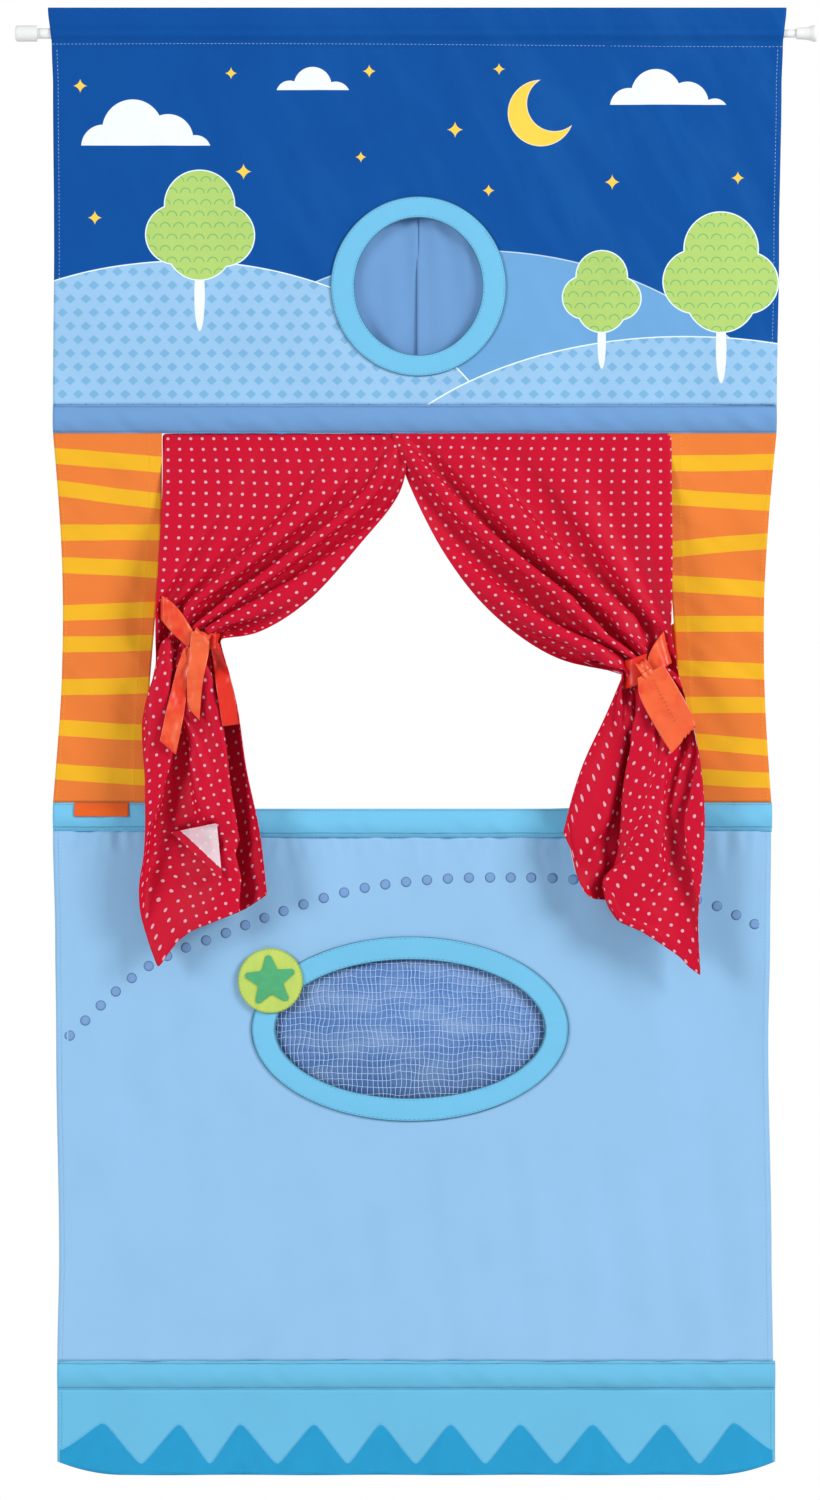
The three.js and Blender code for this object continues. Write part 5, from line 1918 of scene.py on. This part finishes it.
class THEATRE_OT_flounce(bpy.types.Operator):
    """Sew on the flounce and the zigzag along its foot"""

    bl_idname = "theatre.flounce"
    bl_label = "Flounce"

    def execute(self, context):
        shape, _ = cloth_grid(cells(FRONT_WIDTH), 26, flounce_point)
        finishes = [cotton("flounce_cotton", colour_of("hem_blue")),
                    reverse_of("flounce_reverse", colour_of("hem_blue"), 0.1)]
        piece = keep(shape, "flounce_cloth", finishes, "lower", "turquoise_cloth", ["flounce"])
        thicken(piece, sizes().cloth)
        self.zigzag()

        def side(edge):
            def row(share):
                spot = flounce_point(edge, lerp(0.02, 0.98, share))
                spot.y -= sizes().cloth / 2
                return spot
            return row

        def foot(share):
            spot = flounce_point(lerp(0.01, 0.99, share), 0.965)
            spot.y -= sizes().cloth / 2 + 0.5 * MM
            return spot

        sew("flounce_stitches", [side(0.006), side(0.994)], darker(colour_of("hem_blue"), 0.6), "lower",
            "turquoise_cloth")
        sew("zigzag_stitches", [foot], darker(colour_of("zigzag"), 0.7), "lower", "zigzag_cloth")
        return {"FINISHED"}

    def zigzag(self):
        def place(u, v):
            share = lerp(*ZIGZAG_ENDS, u)
            drop = flounce_drop(share)
            top = 1 - min(zigzag_height(share), drop * 0.9) / drop
            spot = flounce_point(share, lerp(top, 0.999, v))
            spot.y -= sizes().cloth / 2 + 0.35 * MM
            return spot

        def flat_spot(u, v):
            share = lerp(*ZIGZAG_ENDS, u)
            return share * FRONT_WIDTH, v * zigzag_height(share)

        shape, shares = cloth_grid(400, 14, place)
        map_cloth(shape, shares, flat_spot)
        finish = Finish("zigzag_print", 0.82, sheen=0.15)
        across, down = finish.flat_place()
        rim = (down - 0.9 * MM).inside(0.4 * MM)
        brush = finish.noise(finish.vector(across, down, 0.0), 60.0, 4.0)
        ground = finish.mix(brush, darker(colour_of("zigzag"), 0.9), darker(colour_of("zigzag"), 1.1))
        colour = finish.mix(rim * 0.75, ground, darker(colour_of("turquoise"), 1.02))
        weave_onto(finish, across, down, colour, sizes().thread_pitch)
        piece = keep(shape, "zigzag_cloth", [finish.material], "lower", "zigzag_cloth", ["zigzag_trim"])
        thicken(piece, 0.5 * MM)


# The rod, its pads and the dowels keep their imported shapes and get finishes

class THEATRE_OT_rod(bpy.types.Operator):
    """Paint the tubes, the pads, the spring and the dowels"""

    bl_idname = "theatre.rod"
    bl_label = "Rod and dowels"

    def execute(self, context):
        paints = {
            self.painted_steel(): ("rod_outer_tube", "rod_inner_tube"),
            self.moulded("nylon_parts", colour_of("white_steel"), 0.5): (
                "rod_tube_ring", "rod_stop_plug", "rod_inner_plug"),
            self.moulded("rubber_pads", colour_of("rubber"), 0.7): ("rod_left_cap", "rod_right_cap"),
            self.spring_wire(): ("rod_spring",),
            self.birch(): ("pelmet_rod", "sill_rod", "hem_rod"),
        }
        for paint, nodes in paints.items():
            for node in nodes:
                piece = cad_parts[node]
                piece.data.materials.clear()
                piece.data.materials.append(paint)
        self.push_spring()
        return {"FINISHED"}

    def push_spring(self):
        """The spring again, between its two plugs, as a piece of its own in place of the imported one."""
        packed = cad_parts["rod_spring"]
        spring = linked("push_spring", packed.data.copy())
        spring.data.transform(packed.matrix_world)
        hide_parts("rod_spring")
        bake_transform(spring)

    def painted_steel(self):
        finish = Finish("white_enamel", 0.3, specular=0.5, coat=0.4)
        x, y, z = finish.place()
        speck = finish.noise(finish.spot(), 220.0, 3.0)
        scuff = finish.noise(finish.vector(x * 3.0, y * 40.0, z * 40.0), 30.0)
        finish.set("Base Color", finish.shaded(colour_of("white_steel"), 0.96 + speck * 0.06))
        finish.set("Roughness", 0.22 + scuff * 0.2)
        finish.bump(speck, 0.15, 0.05 * MM)
        return finish.material

    def moulded(self, name, colour, roughness):
        finish = Finish(name, roughness, specular=0.4)
        speck = finish.noise(finish.spot(), 700.0, 3.0)
        finish.set("Base Color", finish.shaded(colour, 0.93 + speck * 0.12))
        finish.bump(speck, 0.3, 0.06 * MM)
        return finish.material

    def spring_wire(self):
        finish = Finish("spring_wire", 0.3, metallic=1.0)
        x, y, z = finish.place()
        drawn = finish.noise(finish.vector(x * 8.0, y, z), 400.0)
        finish.set("Base Color", finish.shaded((0.55, 0.56, 0.58, 1.0), 0.85 + drawn * 0.3))
        finish.set("Roughness", 0.22 + drawn * 0.2)
        return finish.material

    def birch(self):
        finish = Finish("birch_dowel", 0.6)
        x, y, z = finish.place()
        lines = finish.noise(finish.vector(x * 6.0, y * 260.0, z * 260.0), 4.0, 3.0)
        finish.set("Base Color", finish.mix(lines, colour_of("wood"), darker(colour_of("wood"), 0.72)))
        finish.bump(lines, 0.3, 0.1 * MM)
        return finish.material


# The floor, the light and the camera

PIXEL = 0.955 * MM
VIEW_WIDTH = 820
VIEW_HEIGHT = 1500
RODS_PIXEL = (15.3, 33.5)
CAMERA_DISTANCE = 5.0
SENSOR = 36.0
FLOOR_DROP = 0.42
FLOOR_GREY = (0.84, 0.84, 0.85, 1.0)
SKY_LIGHT = ((0.84, 0.92, 1.0, 1.0), 0.38)
SKY_SEEN = ((1.0, 1.0, 1.0, 1.0), 1.0)
# Each lamp's place from the middle of the view, its width and its power
LAMPS = {
    "key_light": ((3.0, -2.1, 1.6), 1.5, 120.0),
    "fill_light": ((-3.0, -2.2, 0.9), 1.3, 74.0),
    "rear_light": ((0.6, 2.8, 1.4), 1.8, 34.0),
}


class THEATRE_OT_stage(bpy.types.Operator):
    """Set the pale floor, the soft light and the camera"""

    bl_idname = "theatre.stage"
    bl_label = "Floor, light and camera"

    def execute(self, context):
        scene = context.scene
        scene.view_settings.view_transform = "Standard"
        middle = Vector(((VIEW_WIDTH / 2 - RODS_PIXEL[0]) * PIXEL, 0.0,
                         (RODS_PIXEL[1] - VIEW_HEIGHT / 2) * PIXEL))
        self.floor(middle)
        for name, (away, width, power) in LAMPS.items():
            self.lamp(name, middle + Vector(away), middle, width, power)
        self.sky(scene)
        lens = bpy.data.cameras.new("camera")
        lens.sensor_width = SENSOR
        lens.lens = SENSOR * CAMERA_DISTANCE / (VIEW_HEIGHT * PIXEL)
        camera = linked("camera", lens)
        camera.location = middle - Vector((0.0, CAMERA_DISTANCE, 0.0))
        camera.rotation_euler = (math.pi / 2, 0.0, 0.0)
        scene.camera = camera
        return {"FINISHED"}

    def floor(self, middle):
        shape = bmesh.new()
        level = CAD_BOX[0].z - FLOOR_DROP
        bmesh.ops.create_circle(shape, cap_ends=True, segments=96, radius=2.0,
                                matrix=Matrix.Translation((middle.x, 0.0, level)))
        finish = Finish("pale_floor", 0.9)
        x, y, _ = finish.place()
        tone = finish.noise(finish.vector(x, y, 0.0), 3.0)
        finish.set("Base Color", finish.shaded(FLOOR_GREY, 0.98 + tone * 0.04))
        floor = linked("floor", mesh_of(shape, "floor"))
        floor.data.materials.append(finish.material)

    def lamp(self, name, place, aim, width, power):
        light = bpy.data.lights.new(name, "AREA")
        light.shape = "SQUARE"
        light.size = width
        light.energy = power
        lamp = linked(name, light)
        lamp.location = place
        lamp.rotation_euler = (aim - place).to_track_quat("-Z", "Y").to_euler()

    def sky(self, scene):
        """White all round: full white to the camera and softer as light."""
        world = bpy.data.worlds.new("studio")
        scene.world = world
        world.use_nodes = True
        nodes = world.node_tree.nodes
        links = world.node_tree.links
        nodes.clear()
        path = nodes.new("ShaderNodeLightPath")
        choose = nodes.new("ShaderNodeMixShader")
        output = nodes.new("ShaderNodeOutputWorld")
        links.new(path.outputs["Is Camera Ray"], choose.inputs["Fac"])
        for slot, (colour, strength) in ((1, SKY_LIGHT), (2, SKY_SEEN)):
            ground = nodes.new("ShaderNodeBackground")
            ground.inputs["Color"].default_value = colour
            ground.inputs["Strength"].default_value = strength
            links.new(ground.outputs[0], choose.inputs[slot])
        links.new(choose.outputs[0], output.inputs["Surface"])


class THEATRE_PT_sidebar(bpy.types.Panel):
    """The theatre's pieces, sizes and colours"""

    bl_idname = "THEATRE_PT_sidebar"
    bl_label = "Puppet theatre"
    bl_space_type = "VIEW_3D"
    bl_region_type = "UI"
    bl_category = "Theatre"

    def draw(self, context):
        for operator in OPERATORS:
            self.layout.operator(operator.bl_idname)
        for group in (context.scene.theatre_sizes, context.scene.theatre_colours):
            column = self.layout.column(align=True)
            for name in group.__annotations__:
                column.prop(group, name)


OPERATORS = (
    THEATRE_OT_stage, THEATRE_OT_rod, THEATRE_OT_header, THEATRE_OT_porthole, THEATRE_OT_bands,
    THEATRE_OT_pillars, THEATRE_OT_curtains, THEATRE_OT_ties, THEATRE_OT_label, THEATRE_OT_lower_front,
    THEATRE_OT_oval_window, THEATRE_OT_badge, THEATRE_OT_flounce,
)
CLASSES = (TheatreSizes, TheatreColours, *OPERATORS, THEATRE_PT_sidebar)


def register():
    for kind in CLASSES:
        bpy.utils.register_class(kind)
    bpy.types.Scene.theatre_sizes = PointerProperty(type=TheatreSizes)
    bpy.types.Scene.theatre_colours = PointerProperty(type=TheatreColours)


def unregister():
    del bpy.types.Scene.theatre_colours
    del bpy.types.Scene.theatre_sizes
    for kind in reversed(CLASSES):
        bpy.utils.unregister_class(kind)


def main():
    register()
    bpy.ops.theatre.stage()
    bpy.ops.theatre.rod()
    bpy.ops.theatre.header()
    bpy.ops.theatre.porthole()
    bpy.ops.theatre.bands()
    bpy.ops.theatre.pillars()
    bpy.ops.theatre.curtains()
    bpy.ops.theatre.ties()
    bpy.ops.theatre.label()
    bpy.ops.theatre.lower_front()
    bpy.ops.theatre.oval_window()
    bpy.ops.theatre.badge()
    bpy.ops.theatre.flounce()


if __name__ == "__main__":
    main()
